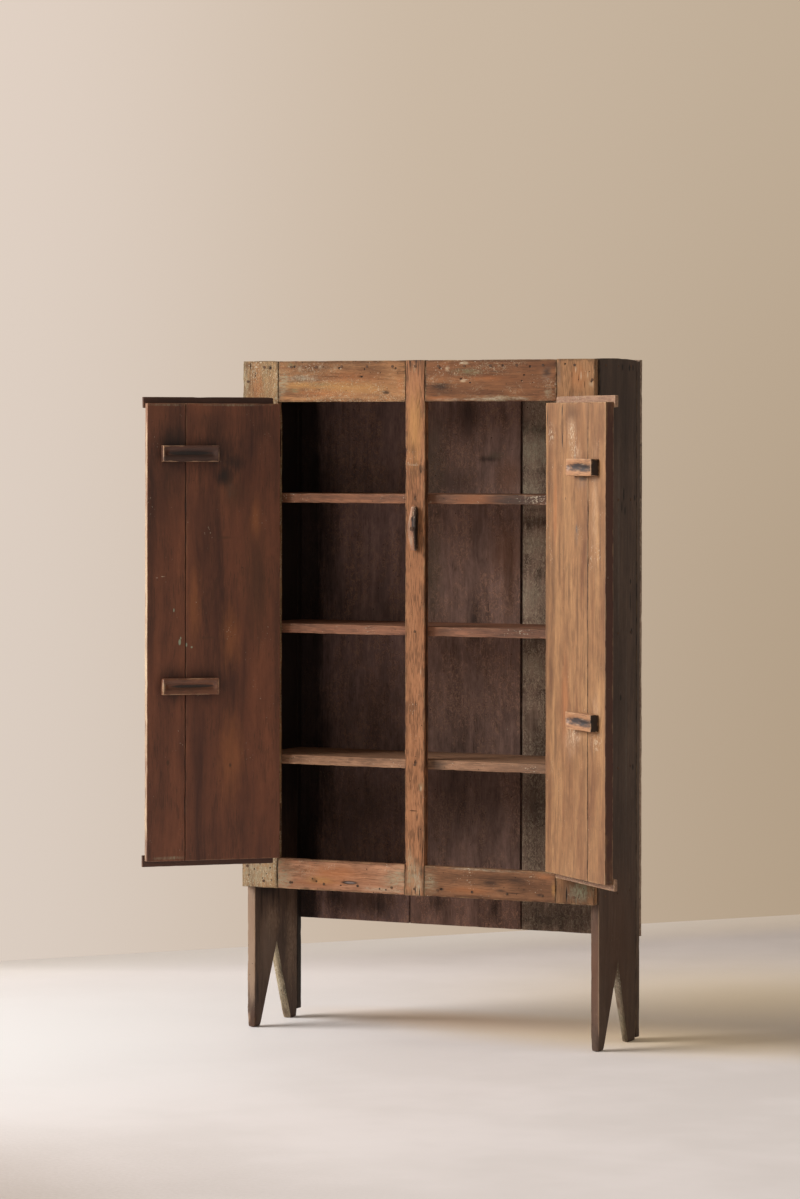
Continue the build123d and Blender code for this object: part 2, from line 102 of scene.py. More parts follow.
class Steps:
    """A node tree that is written one step at a time."""

    def __init__(self, tree):
        self.tree = tree

    def put(self, value, socket):
        """Join an output to a socket, or set the socket to a plain value."""
        if isinstance(value, bpy.types.NodeSocket):
            self.tree.links.new(value, socket)
        else:
            socket.default_value = value

    def add(self, kind, values=(), **settings):
        """A new node with these settings and these values at its first inputs."""
        node = self.tree.nodes.new(kind)
        for name, value in settings.items():
            setattr(node, name, value)
        for place, value in enumerate(values):
            self.put(value, node.inputs[place])
        return node

    def math(self, operation, a, b=0.0, clamp=False):
        return self.add("ShaderNodeMath", (a, b), operation=operation, use_clamp=clamp).outputs[0]

    def plus(self, a, b):
        return self.math("ADD", a, b)

    def minus(self, a, b):
        return self.math("SUBTRACT", a, b)

    def times(self, a, b):
        return self.math("MULTIPLY", a, b)

    def vector(self, operation, a, b=(0.0, 0.0, 0.0)):
        node = self.add("ShaderNodeVectorMath", (a, b), operation=operation)
        return node.outputs["Value" if operation in ("LENGTH", "DOT_PRODUCT") else "Vector"]

    def split(self, vector):
        return self.add("ShaderNodeSeparateXYZ", (vector,)).outputs

    def noise(self, vector, stretch=None, detail=2.0, roughness=0.5, distortion=0.0):
        """A noise; the larger a part of stretch is, the finer it is along that axis."""
        if stretch:
            vector = self.vector("MULTIPLY", vector, stretch)
        node = self.add("ShaderNodeTexNoise", (vector,))
        for name, value in (("Scale", 1.0), ("Detail", detail), ("Roughness", roughness),
                            ("Distortion", distortion)):
            node.inputs[name].default_value = value
        return node.outputs[0]

    def smooth(self, value, low, high, start=0.0, end=1.0):
        """Go smoothly from start to end while the value goes from low to high."""
        values = (value, low, high, start, end)
        return self.add("ShaderNodeMapRange", values, interpolation_type="SMOOTHSTEP").outputs[0]

    def mix(self, factor, a, b, blend="MIX"):
        node = self.add("ShaderNodeMix", (factor,), data_type="RGBA", blend_type=blend)
        for value, socket in zip((a, b), COLOURS_OF_MIX):
            self.put(value, node.inputs[socket])
        return node.outputs[RESULT_OF_MIX]

    def mix_shaders(self, share, first, second):
        return self.add("ShaderNodeMixShader", (share, first, second)).outputs[0]

    def own_axes(self):
        return self.add("ShaderNodeTexCoord").outputs["Object"]

    def bump(self, height, strength, distance, shader):
        """Raise a shader's surface by a height, for the light alone."""
        node = self.add("ShaderNodeBump")
        for name, value in (("Strength", strength), ("Distance", distance), ("Height", height)):
            self.put(value, node.inputs[name])
        self.put(node.outputs["Normal"], shader.inputs["Normal"])


def new_material(name):
    """A new material, the steps to write it with, and its shader."""
    material = bpy.data.materials.new(name)
    material.use_nodes = True
    return material, Steps(material.node_tree), material.node_tree.nodes["Principled BSDF"]


SOCKETS = dict.fromkeys(("Vector", "Stretch", "Size", "Place"), "NodeSocketVector")
SOCKETS.update(dict.fromkeys(("Light", "Dark", "Color"), "NodeSocketColor"))


def new_effect(name, inputs, outputs=("Mask",)):
    """A node group with these inputs after its vector, and the sockets to write it with."""
    tree = bpy.data.node_groups.new(name, "ShaderNodeTree")
    for side, labels in (("INPUT", ("Vector", *inputs)), ("OUTPUT", outputs)):
        for label in labels:
            kind = SOCKETS.get(label, "NodeSocketFloat")
            tree.interface.new_socket(name=label, in_out=side, socket_type=kind)
    steps = Steps(tree)
    return steps, steps.add("NodeGroupInput").outputs, steps.add("NodeGroupOutput").inputs


def drift(steps, given, vector, way):
    """Move a vector one way, as far as the seed says, so that no two boards look alike."""
    shift = steps.vector("SCALE", way)
    steps.put(given["Seed"], shift.node.inputs["Scale"])
    return steps.vector("ADD", vector, shift)


def use(steps, effect, **values):
    """Place an effect in a material and set its sockets by name."""
    node = steps.add("ShaderNodeGroup", node_tree=bpy.data.node_groups[effect])
    for label, value in values.items():
        steps.put(value, node.inputs[label.replace("_", " ")])
    return node.outputs


print("dark oak brown is", [round(c, 3) for c in tone("5A3A26")])

# %% [markdown]
# ## Wood as a solid
#
# Every board is drawn in its own axes: X runs across the board, Y through its thickness and Z
# along the grain.  A noise that is stretched along Z then looks like grain on each face, and it
# meets itself at the edges, as real wood does.  `grain` layers three such noises.  A broad one
# gives the slow change from heart to sap wood, a narrow one gives the streaks of the year rings,
# and a fine one gives the fibres.  A fourth noise isn't stretched much: it is the mottle of old
# hands, smoke and rubbing that lies over the grain.

# %% Grain
steps, given, out = new_effect(
    "grain", ("Seed", "Light", "Dark", "Breadth", "Contrast", "Streaks", "Fibre"), ("Color", "Height"))
moved = drift(steps, given, given["Vector"], (13.1, 7.7, 5.3))
sway = steps.times(steps.minus(steps.noise(moved, (4.0, 4.0, 3.0)), 0.5), 0.05)
swayed = steps.vector("ADD", moved, steps.add("ShaderNodeCombineXYZ", (sway,)).outputs[0])
wide = steps.vector("SCALE", steps.vector("MULTIPLY", swayed, (1.0, 1.0, 0.14)))
steps.put(given["Breadth"], wide.node.inputs["Scale"])
broad = steps.noise(wide, detail=3.0, roughness=0.6)
streak = steps.noise(swayed, (105.0, 105.0, 3.6), detail=3.0, roughness=0.65)
fibre = steps.noise(swayed, (420.0, 420.0, 22.0), roughness=0.6)
mottle = steps.noise(moved, (55.0, 55.0, 24.0), detail=5.0, roughness=0.75)
body = steps.plus(broad, steps.times(steps.minus(streak, broad), given["Streaks"]))
centred = steps.times(steps.minus(body, 0.5), given["Contrast"])
wood = steps.mix(steps.math("ADD", centred, 0.5, clamp=True), given["Dark"], given["Light"])
uneven = steps.plus(steps.times(fibre, 0.6), steps.times(mottle, 1.4))
shade = steps.plus(steps.times(steps.minus(uneven, 1.0), given["Fibre"]), 1.0)
bright = steps.add("ShaderNodeCombineColor", (shade, shade, shade)).outputs[0]
steps.put(steps.mix(1.0, wood, bright, "MULTIPLY"), out["Color"])
relief = steps.plus(steps.times(streak, 0.5), steps.times(mottle, 0.7))
steps.put(steps.plus(relief, steps.times(fibre, 0.6)), out["Height"])
print("grain has", len(steps.tree.nodes), "nodes")

# %% [markdown]
# ## What age adds
#
# Age comes in patches, lines, specks and along edges, and each of these is a mask from 0 to 1
# that any wood can use with a colour of its own.
#
# * `patches` are cloudy areas, for grey weathering and for dirt.
# * `checks` are the thin dark splits that dry wood opens along its grain.
# * `pits` are worm holes and small dents.
# * `flecks` are crumbs and short hairs of another colour: dust in the pores, old paint, scratches.
# * `curls` are the raised, rubbed rims of a finish that has crazed.
# * `edges` finds the rim of each face from the board's size alone.  It could also be found from
#   the mesh's curvature, but a rule that knows the board's size also works on a plain mesh.

# %% Patches and checks
steps, given, out = new_effect("patches", ("Seed", "Stretch", "Amount", "Blur"))
stretched = steps.vector("MULTIPLY", given["Vector"], given["Stretch"])
cloud = steps.noise(drift(steps, given, stretched, (3.1, 9.3, 17.9)), detail=4.0, roughness=0.62)
low = steps.smooth(given["Amount"], 0.0, 1.0, 0.78, 0.24)
steps.put(steps.smooth(cloud, low, steps.plus(low, given["Blur"])), out["Mask"])

steps, given, out = new_effect("checks", ("Seed", "Spacing", "Width", "Amount"))
moved = drift(steps, given, given["Vector"], (21.1, 2.3, 11.7))
across = steps.vector("SCALE", steps.vector("MULTIPLY", moved, (1.0, 1.0, 0.05)))
steps.put(given["Spacing"], across.node.inputs["Scale"])
line = steps.math("ABSOLUTE", steps.minus(steps.noise(across, detail=1.0), 0.5))
thin = steps.smooth(line, 0.0, given["Width"], 1.0, 0.0)
where = steps.noise(moved, (30.0, 30.0, 9.0), detail=1.0)
chosen = steps.smooth(where, steps.smooth(given["Amount"], 0.0, 1.0, 0.75, 0.3), 0.8)
steps.put(steps.times(thin, chosen), out["Mask"])
print("patches and checks are ready")

# %% Pits, flecks and curls
steps, given, out = new_effect("pits", ("Seed", "Per metre", "Radius", "Amount"))
cells = steps.add("ShaderNodeTexVoronoi")
steps.put(drift(steps, given, given["Vector"], (5.9, 15.1, 8.3)), cells.inputs["Vector"])
steps.put(given["Per metre"], cells.inputs["Scale"])
size = steps.times(given["Radius"], given["Per metre"])
dots = steps.smooth(cells.outputs["Distance"], steps.times(size, 0.5), size, 1.0, 0.0)
gate = steps.math("LESS_THAN", steps.split(cells.outputs["Color"])[0], given["Amount"])
steps.put(steps.times(dots, gate), out["Mask"])

steps, given, out = new_effect("flecks", ("Seed", "Stretch", "Amount"))
moved = drift(steps, given, given["Vector"], (7.3, 3.7, 1.9))
crumbs = steps.noise(moved, given["Stretch"], detail=1.0, roughness=0.6)
crowd = steps.noise(moved, (20.0, 20.0, 11.0))
bar = steps.minus(1.02, steps.times(given["Amount"], 0.4))
level = steps.plus(steps.times(crumbs, 0.75), steps.times(crowd, 0.5))
steps.put(steps.smooth(level, steps.minus(bar, 0.16), steps.minus(bar, 0.08)), out["Mask"])

steps, given, out = new_effect("curls", ("Seed", "Stretch", "Width", "Amount"))
moved = drift(steps, given, given["Vector"], (2.7, 8.9, 4.3))
skin = steps.noise(moved, given["Stretch"], roughness=0.6, distortion=0.8)
ridge = steps.math("ABSOLUTE", steps.minus(skin, 0.5))
ridge = steps.smooth(ridge, 0.0, given["Width"], 1.0, 0.0)
crowd = steps.noise(moved, (16.0, 16.0, 8.0), detail=3.0, roughness=0.6)
bar = steps.smooth(given["Amount"], 0.0, 1.0, 0.72, 0.3)
steps.put(steps.times(ridge, steps.smooth(crowd, bar, steps.plus(bar, 0.14))), out["Mask"])
print("pits, flecks and curls are ready")

# %% Edges
steps, given, out = new_effect("edges", ("Size", "Reach", "Seed"))
half = steps.vector("SCALE", given["Size"])
half.node.inputs["Scale"].default_value = 0.5
from_middle = steps.vector("ABSOLUTE", steps.vector("SUBTRACT", given["Vector"], half))
left = steps.split(steps.vector("SUBTRACT", half, from_middle))
low = steps.math("MINIMUM", left[0], left[1])
high = steps.math("MAXIMUM", left[0], left[1])
rim = steps.math("MAXIMUM", low, steps.math("MINIMUM", high, left[2]))
moved = drift(steps, given, given["Vector"], (9.7, 4.1, 6.1))
ragged = steps.noise(moved, (60.0, 60.0, 22.0), detail=4.0, roughness=0.65)
reach = steps.times(given["Reach"], steps.smooth(ragged, 0.35, 0.7, 0.15, 2.0))
steps.put(steps.smooth(rim, 0.0, reach, 1.0, 0.0), out["Mask"])
print("effects:", ", ".join(sorted(group.name for group in bpy.data.node_groups)))

# %% [markdown]
# ## Marks with a place
# A few kinds are painted shade rather than marks on the wood, and a few chalk marks are painted light.
#
# Some marks belong to one spot: a knot, the stain round a nail, a chip of old paint, the dark
# bloom that hands leave round a cleat.  `spot` is a soft, ragged ellipse at a given place of the
# board, and each kind of mark below is a spot with a colour, a strength, a raggedness and a
# softness of its own.  A mark of a kind that is sunk also goes into the surface, through the bump.
#
# A board's marks are written as a joiner would measure them with a rule, all in millimetres: the
# kind, then the place across the board and along it, then how far the mark reaches across and
# along.  Two more numbers may follow: how far the face that it lies on is from the front one, and
# how deep it goes in.  A mark that gives no kind is of the same kind as the one before it.

# %% Spots
steps, given, out = new_effect("spot", ("Place", "Size", "Ragged", "Soft"))
away = steps.vector("DIVIDE", steps.vector("SUBTRACT", given["Vector"], given["Place"]), given["Size"])
uneven = steps.noise(given["Vector"], (95.0, 95.0, 17.0), detail=4.0, roughness=0.7)
torn = steps.times(steps.minus(uneven, 0.5), given["Ragged"])
distance = steps.plus(steps.vector("LENGTH", away), torn)
steps.put(steps.smooth(distance, steps.minus(1.0, given["Soft"]), 1.0, 1.0, 0.0), out["Mask"])

# Each kind's colour, strength, raggedness, softness and how far it is sunk.
MARKS = {
    "nail": ("251912", 0.85, 0.5, 0.6, 1.0),
    "rust": ("4A3020", 0.55, 1.0, 0.9, 0.0),
    "crack": ("17100C", 0.9, 1.2, 0.7, 1.5),
    "knot": ("45301F", 0.75, 0.8, 0.7, 0.3),
    "scratch": ("CDBFA4", 0.6, 1.8, 1.0, 0.0),
    "bleach": ("989076", 0.65, 1.5, 1.0, 0.0),
    "chalk": ("B5AA92", 0.55, 1.8, 1.0, 0.0),
    "green": ("757B5C", 0.5, 1.6, 1.0, 0.0),
    "ochre": ("B98A50", 0.5, 1.2, 1.0, 0.0),
    "orange": ("A8683C", 0.42, 1.2, 1.0, 0.0),
    "umber": ("4E3220", 0.6, 1.2, 1.0, 0.0),
    "soot": ("1C1613", 0.7, 1.2, 1.0, 0.0),
    "bloom": ("1A1210", 0.8, 0.9, 1.0, 0.0),
    # Painted shade: a soft darkening where a part lies out of the light.
    "gloom": ("241812", 0.42, 0.4, 1.0, 0.0),
    "blue": ("3B393D", 0.7, 2.0, 0.9, 0.5),
    "seam": ("120B08", 0.9, 0.3, 0.7, 1.0),
    "paint": ("93A088", 0.95, 0.9, 0.5, 0.0),
    "halo": ("CDB898", 0.5, 2.4, 1.0, 0.0),
    "grey": ("6A625A", 0.45, 1.2, 0.9, 0.0),
    "worn": ("C0A184", 0.35, 1.6, 1.0, 0.0),
    "bare": ("AC9078", 0.65, 0.8, 0.5, 0.0),
    "band": ("2A1E18", 0.6, 2.4, 1.0, 0.0),
    "scrape": ("2A2628", 0.88, 2.8, 0.8, 0.6),
    "fade": ("A88E7A", 0.27, 0.8, 1.0, 0.0),
    "outside": ("6B4226", 0.42, 2.4, 0.5, 0.0),
    "sienna": ("7A5440", 0.55, 0.9, 0.9, 0.0),
    "hollow": ("0F0A08", 0.92, 0.4, 0.5, 1.0),
    "sheen": ("7E6E68", 0.9, 0.6, 0.6, 0.0),
    "speckle": ("CBBBA2", 0.65, 0.9, 1.0, 0.0),
    # Painted shade at its darkest, deep in a shaded bay.
    "pitch": ("0D0A09", 0.85, 0.3, 0.35, 0.0),
    "moss": ("5E5848", 0.4, 1.2, 1.0, 0.0),
    # Painted shadow: dark flanks, grooves and ends that face away from the light.
    "smoke": ("15100D", 0.82, 0.5, 0.4, 0.0),
    # Painted shade in red brown, on an edge and in a hollow that the light doesn't reach.
    "stain": ("44241B", 0.92, 0.4, 0.3, 0.0),
}
# Kinds that break up as dust does, and kinds that lie over everything else: holes, a sheen and the darkest painted
# shade.
DUSTY = ("bleach", "chalk", "green", "worn", "grey")
LAID_LAST = ("pitch", "hollow", "sheen")
MARK_DEPTH = 0.007  # in metres, for a mark that gives none


def read_marks(text, face):
    """The marks that a text names, each as its kind, its place and its reach, in metres."""
    marks = []
    for words in (item.split() for item in text.split(",") if item):
        kind = words.pop(0) if words[0].isalpha() else marks[-1][0]
        across, along, wide, long, *more = (float(word) / 1000 for word in words)
        near, deep = (*more, *(face / 1000, MARK_DEPTH)[len(more):])
        marks.append((kind, (across, near, along), (wide, deep, long)))
    return marks


print(len(MARKS), "kinds of mark")

# %% [markdown]
# ## From effects to a wood
#
# One function puts a wood together for one board.  It starts with the grain, then lays each sign
# of age over it: a second tint, weathering, dirt, dark hairs, grime along the rim, crazing, the
# marks, light crumbs, splits, holes and rubbed edges.  Besides wear and dirt, some marks are
# painted shade, and a few are painted light.  The marks of a few kinds come last, so that the
# rubbed edges don't cover them: holes, a sheen and the darkest painted shade.  The function takes
# the board's size, because its edges need it, and a seed, so that no two boards are alike.  The same
# masks roughen the surface and sink it a little, so what looks like a split also catches the light
# like one.

# %% The wood of one board
GRIME, SPLIT, HOLE = "20150F", "17100C", "1A120D"
HOLLOW_STRENGTH = 0.85


def board_wood(name, size, seed, light, dark, tint="6B4529", tinting=0.35, tint_strength=0.6,
               breadth=24.0, contrast=2.4, streaks=0.45, fibre=0.7,
               weathered="9C9479", weathering=0.3, weather_stretch=(22.0, 22.0, 6.0),
               weather_strength=0.7, dirt="1E140F", dirtiness=0.25, dirt_stretch=(17.0, 17.0, 5.0),
               dirt_strength=0.6, hairs="3A2618", hair_amount=0.5, hair_strength=0.4,
               crumbs="C9BFA8", crumb_amount=0.3, crumb_strength=0.5,
               curls="D3C0A0", curl_amount=0.0, curl_strength=0.5, curl_width=0.05,
               curl_stretch=(150.0, 150.0, 95.0), grime_strength=0.0, check_amount=0.3,
               pit_amount=0.12, rubbed="A98C66", rubbing=0.5, rub_reach=0.003,
               gloss=0.35, roughness=0.62, relief=0.0006, marks="", face=0.0):
    """A wood for a board of this size, in metres; face is for the marks that give none."""
    material, steps, shader = new_material(name)
    own = steps.own_axes()
    marks = read_marks(marks, face)

    def mask_of(effect, further=0.0, **values):
        return use(steps, effect, Vector=own, Seed=seed + further, **values)["Mask"]

    def mask_of_mark(kind, place, extent):
        ragged, soft = MARKS[kind][2:4]
        return use(steps, "spot", Vector=own, Place=place, Size=extent, Ragged=ragged, Soft=soft)["Mask"]

    def cover(mask, strength, paint):
        return steps.mix(steps.times(mask, strength), colour, tone(paint))

    wood = use(steps, "grain", Vector=own, Seed=seed, Light=tone(light), Dark=tone(dark),
               Breadth=breadth, Contrast=contrast, Streaks=streaks, Fibre=fibre)
    colour = wood["Color"]
    tinted = mask_of("patches", 57.0, Stretch=(19.0, 19.0, 3.0), Amount=tinting, Blur=0.35)
    colour = cover(tinted, tint_strength, tint)
    dust = steps.noise(own, (210.0, 210.0, 75.0), detail=3.0, roughness=0.7)
    dust = steps.smooth(dust, 0.4, 0.62, 0.25, 1.0)
    worn = mask_of("patches", Stretch=weather_stretch, Amount=weathering, Blur=0.3)
    worn = steps.times(worn, dust)
    colour = cover(worn, weather_strength, weathered)
    dirty = mask_of("patches", 31.0, Stretch=dirt_stretch, Amount=dirtiness, Blur=0.3)
    colour = cover(dirty, dirt_strength, dirt)
    hair = mask_of("flecks", 7.0, Stretch=(430.0, 430.0, 34.0), Amount=hair_amount)
    colour = cover(hair, hair_strength, hairs)
    colour = cover(mask_of("edges", 19.0, Size=size, Reach=0.007), grime_strength, GRIME)
    craze = mask_of("curls", 5.0, Stretch=curl_stretch, Width=curl_width, Amount=curl_amount)
    colour = cover(craze, curl_strength, curls)

    grit = steps.noise(own, (190.0, 190.0, 130.0), roughness=0.7)
    grit = steps.smooth(grit, 0.52, 0.62)
    sunk = None
    for kind, place, extent in marks:
        if kind in LAID_LAST:
            continue
        paint, strength, _, _, depth = MARKS[kind]
        mask = mask_of_mark(kind, place, extent)
        if kind in DUSTY:
            mask = steps.times(mask, dust)
        if kind == "speckle":
            mask = steps.times(mask, grit)
        colour = cover(mask, strength, paint)
        if depth:
            deep = steps.times(mask, depth)
            sunk = steps.plus(sunk, deep) if sunk else deep

    crumb = mask_of("flecks", 3.0, Stretch=(300.0, 300.0, 190.0), Amount=crumb_amount)
    colour = cover(crumb, crumb_strength, crumbs)
    split = mask_of("checks", Spacing=42.0, Width=0.012, Amount=check_amount)
    colour = cover(split, HOLLOW_STRENGTH, SPLIT)
    holes = mask_of("pits", Per_metre=70.0, Radius=0.0016, Amount=pit_amount)
    colour = cover(holes, HOLLOW_STRENGTH, HOLE)
    colour = cover(mask_of("edges", Size=size, Reach=rub_reach), rubbing, rubbed)
    # The darkest painted shade, the holes and the sheen go over the rubbed edges.
    for kind, place, extent in marks:
        if kind in LAID_LAST:
            colour = cover(mask_of_mark(kind, place, extent), MARKS[kind][1], MARKS[kind][0])
    steps.put(colour, shader.inputs["Base Color"])

    dullness = steps.plus(steps.times(worn, 0.15), roughness)
    rough = steps.math("ADD", steps.times(wood["Height"], 0.06), dullness, clamp=True)
    steps.put(rough, shader.inputs["Roughness"])
    shader.inputs["Specular IOR Level"].default_value = gloss
    pitted = steps.plus(split, holes)
    if sunk:
        pitted = steps.plus(pitted, sunk)
    raised = steps.plus(wood["Height"], steps.times(craze, 0.7))
    steps.bump(steps.minus(raised, steps.times(pitted, 2.0)), 0.8, relief, shader)
    return material


print("a wood uses", len(bpy.data.node_groups), "effects and any number of marks")

# %% [markdown]
# ## A worn board
#
# A board could be a cube with a Bevel modifier, but a bevel is the same all along, and a real
# edge isn't.  Here the board's six faces are laid out as a grid, with extra lines near the
# edges.  Each point then moves on to the skin of a rounded box whose corner radius wanders with
# a noise: small where the edge is sound, and several times larger where it has been knocked.
# The long edges also waver a little, always inwards, so that the board never grows past its
# solid.

# %% Make a worn board
def grid_lines(length, radius, cell):
    """Places of the grid along one side: close together at the ends, evenly spaced between."""
    inner = max(length - 2 * radius, 1e-5)
    count = max(1, round(inner / cell))
    near_end = radius * 0.3
    middle = [radius + inner * i / count for i in range(count + 1)]
    return [0.0, near_end, *middle, length - near_end, length]


# How many waves a metre holds of the knocks in an edge, of the nicks in a knock, and of the waver.
KNOCK_WAVES, NICK_WAVES, WAVER_WAVES = 28, 90, 5
# A board wavers less through its thickness than across it.
WAVER_SHARES = (1.0, 0.35)


def worn_box(size, seed, radius=0.0015, knocks=3.0, waver=0.0009, cell=0.014, chips=(), bend=None):
    """The points and faces of a worn board, in its own axes.

    chips are (place, reach, depth): near that place the edge is rounded that deep.
    """
    lines = [grid_lines(length, min(radius, length / 4), cell) for length in size]
    counts = [len(line) for line in lines]
    index, points, faces = {}, [], []

    def corner(key):
        if key not in index:
            index[key] = len(points)
            points.append(Vector(lines[axis][key[axis]] for axis in range(3)))
        return index[key]

    for fixed in range(3):
        u, v = (fixed + 1) % 3, (fixed + 2) % 3
        for end in (0, counts[fixed] - 1):
            for i in range(counts[u] - 1):
                for j in range(counts[v] - 1):
                    quad = []
                    for du, dv in ((0, 0), (1, 0), (1, 1), (0, 1)):
                        key = [0, 0, 0]
                        key[fixed], key[u], key[v] = end, i + du, j + dv
                        quad.append(corner(tuple(key)))
                    faces.append(quad if end else quad[::-1])

    offset = Vector((seed * 3.7, seed * 1.9, seed * 5.1))
    roundest = min(size) / 2.05  # a little under half, so that some of the box stays flat
    for point in points:
        knock = noise.noise(point * KNOCK_WAVES + offset)
        knock += 0.5 * noise.noise(point * NICK_WAVES + offset)
        here = radius * (1 + knocks * max(0.0, knock))
        for place, reach, depth in chips:
            near = 1 - (point - Vector(place)).length / reach
            here = max(here, depth * min(1.0, max(0.0, near) * 1.6))
        here = min(here, roundest)
        core = Vector(min(max(point[a], here), size[a] - here) for a in range(3))
        away = point - core
        if away.length > 0:
            point.xyz = core + away.normalized() * here
        for axis, share in enumerate(WAVER_SHARES):
            waves = [noise.noise(Vector((seed, row, point.z * WAVER_WAVES))) for row in (axis, axis + 9)]
            low, high = (waver * share * (0.6 + 0.5 * wave) for wave in waves)
            point[axis] = low + point[axis] * (size[axis] - low - high) / size[axis]
        if bend:
            bend(point)
    return points, faces


def new_piece(name, points, faces, place, material):
    """An object from points and faces, set down by a matrix."""
    mesh = bpy.data.meshes.new(name)
    mesh.from_pydata([tuple(point) for point in points], [], faces)
    mesh.validate()
    whole = bmesh.new()
    whole.from_mesh(mesh)
    bmesh.ops.recalc_face_normals(whole, faces=whole.faces)
    whole.to_mesh(mesh)
    whole.free()
    mesh.shade_smooth()
    mesh.materials.append(material)
    piece = new_object(name, mesh)
    piece.matrix_world = place
    weigh = piece.modifiers.new("weigh normals", "WEIGHTED_NORMAL")
    weigh.keep_sharp = True
    return piece


points, faces = worn_box((0.1, 0.02, 0.5), seed=1.0)
print("a worn board of half a metre has", len(faces), "faces")

# %% [markdown]
# ## Where the boards lie
#
# A board's own axes have to be turned into the cupboard's.  There are four ways a board lies
# here: upright at the front, along a rail, flat as a shelf, or upright in a side.  A door's
# boards are measured as they are when the door is shut, where they lie square, and then swung
# open about the hinge pin to the place where the cupboard shows them.

# %% Place the boards
# For each way to lie: the matrix from the board's axes to the cupboard's, and in which of the
# cupboard's axes the board starts from its highest side.
LIES = {
    "upright": (((1, 0, 0), (0, 1, 0), (0, 0, 1)), (0, 0, 0)),
    "rail": (((0, 0, 1), (0, 1, 0), (-1, 0, 0)), (0, 0, 1)),
    "shelf": (((0, 0, 1), (1, 0, 0), (0, 1, 0)), (0, 0, 0)),
    "side": (((0, -1, 0), (1, 0, 0), (0, 0, 1)), (1, 0, 0)),
}
joints = {joint["name"]: joint for joint in frame["joints"]}
body_of_node = {
    node: body for body, nodes in frame["record"]["behaviour"]["bodies"].items() for node in nodes
}
slot_of_node = {part["node"]: part["material_slot"] for part in frame["record"]["subparts"]}


def swing(node):
    """The matrix that takes a node from where it lies with the doors shut to where it rests."""
    joint = joints.get(body_of_node[node] + "_hinge")
    if joint is None:
        return Matrix.Identity(4)
    pin = Vector(joint["pos_m"])
    turn = Matrix.Rotation(-math.radians(joint["range_deg"][1]), 4, Vector(joint["axis"]))
    return Matrix.Translation(pin) @ turn @ Matrix.Translation(-pin)


def shut_box(node):
    """The lowest and highest corner of a node, with its door shut."""
    back = swing(node).inverted()
    corners = [back @ vertex.co for vertex in frame["nodes"][node].data.vertices]
    low = Vector(min(c[a] for c in corners) for a in range(3))
    high = Vector(max(c[a] for c in corners) for a in range(3))
    return low, high


def lay(node, lie):
    """The matrix from a board's own axes to where it rests, and its size in its own axes."""
    low, high = shut_box(node)
    rows, from_high = LIES[lie]
    turn = Matrix(rows)
    size = Vector(abs(c) for c in turn.transposed() @ (high - low))
    origin = Vector(high[a] if from_high[a] else low[a] for a in range(3))
    return swing(node) @ (Matrix.Translation(origin) @ turn.to_4x4()), size


def board(node, lie, seed, wood, **shape):
    """Make one worn board in the place of its solid."""
    place, size = lay(node, lie)
    points, faces = worn_box(size, seed, **shape)
    material = board_wood(node + "_wood", size, seed, **wood)
    piece = new_piece(node + "_board", points, faces, place, material)
    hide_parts(node)
    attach(piece, body_of_node[node])
    return piece


def boards(changes, lie, first_seed, wood, chips=None, **shape):
    """Make boards of one wood, each with changes and chips of its own."""
    for seed, (node, change) in enumerate(changes.items(), first_seed):
        board(node, lie, seed, {**wood, **change}, chips=(chips or {}).get(node, ()), **shape)


place, size = lay("left_stile", "upright")
print("left stile", [round(c, 4) for c in size])

# %% [markdown]
# ## The face frame
#
# The frame is the lightest wood of the cupboard: old pine that has gone orange.  Weather has
# greyed it in patches, most of all at the corners, along the foot and at the ends of the rails,
# where water stands.  The nails that hold it sit in dark stains of their own.

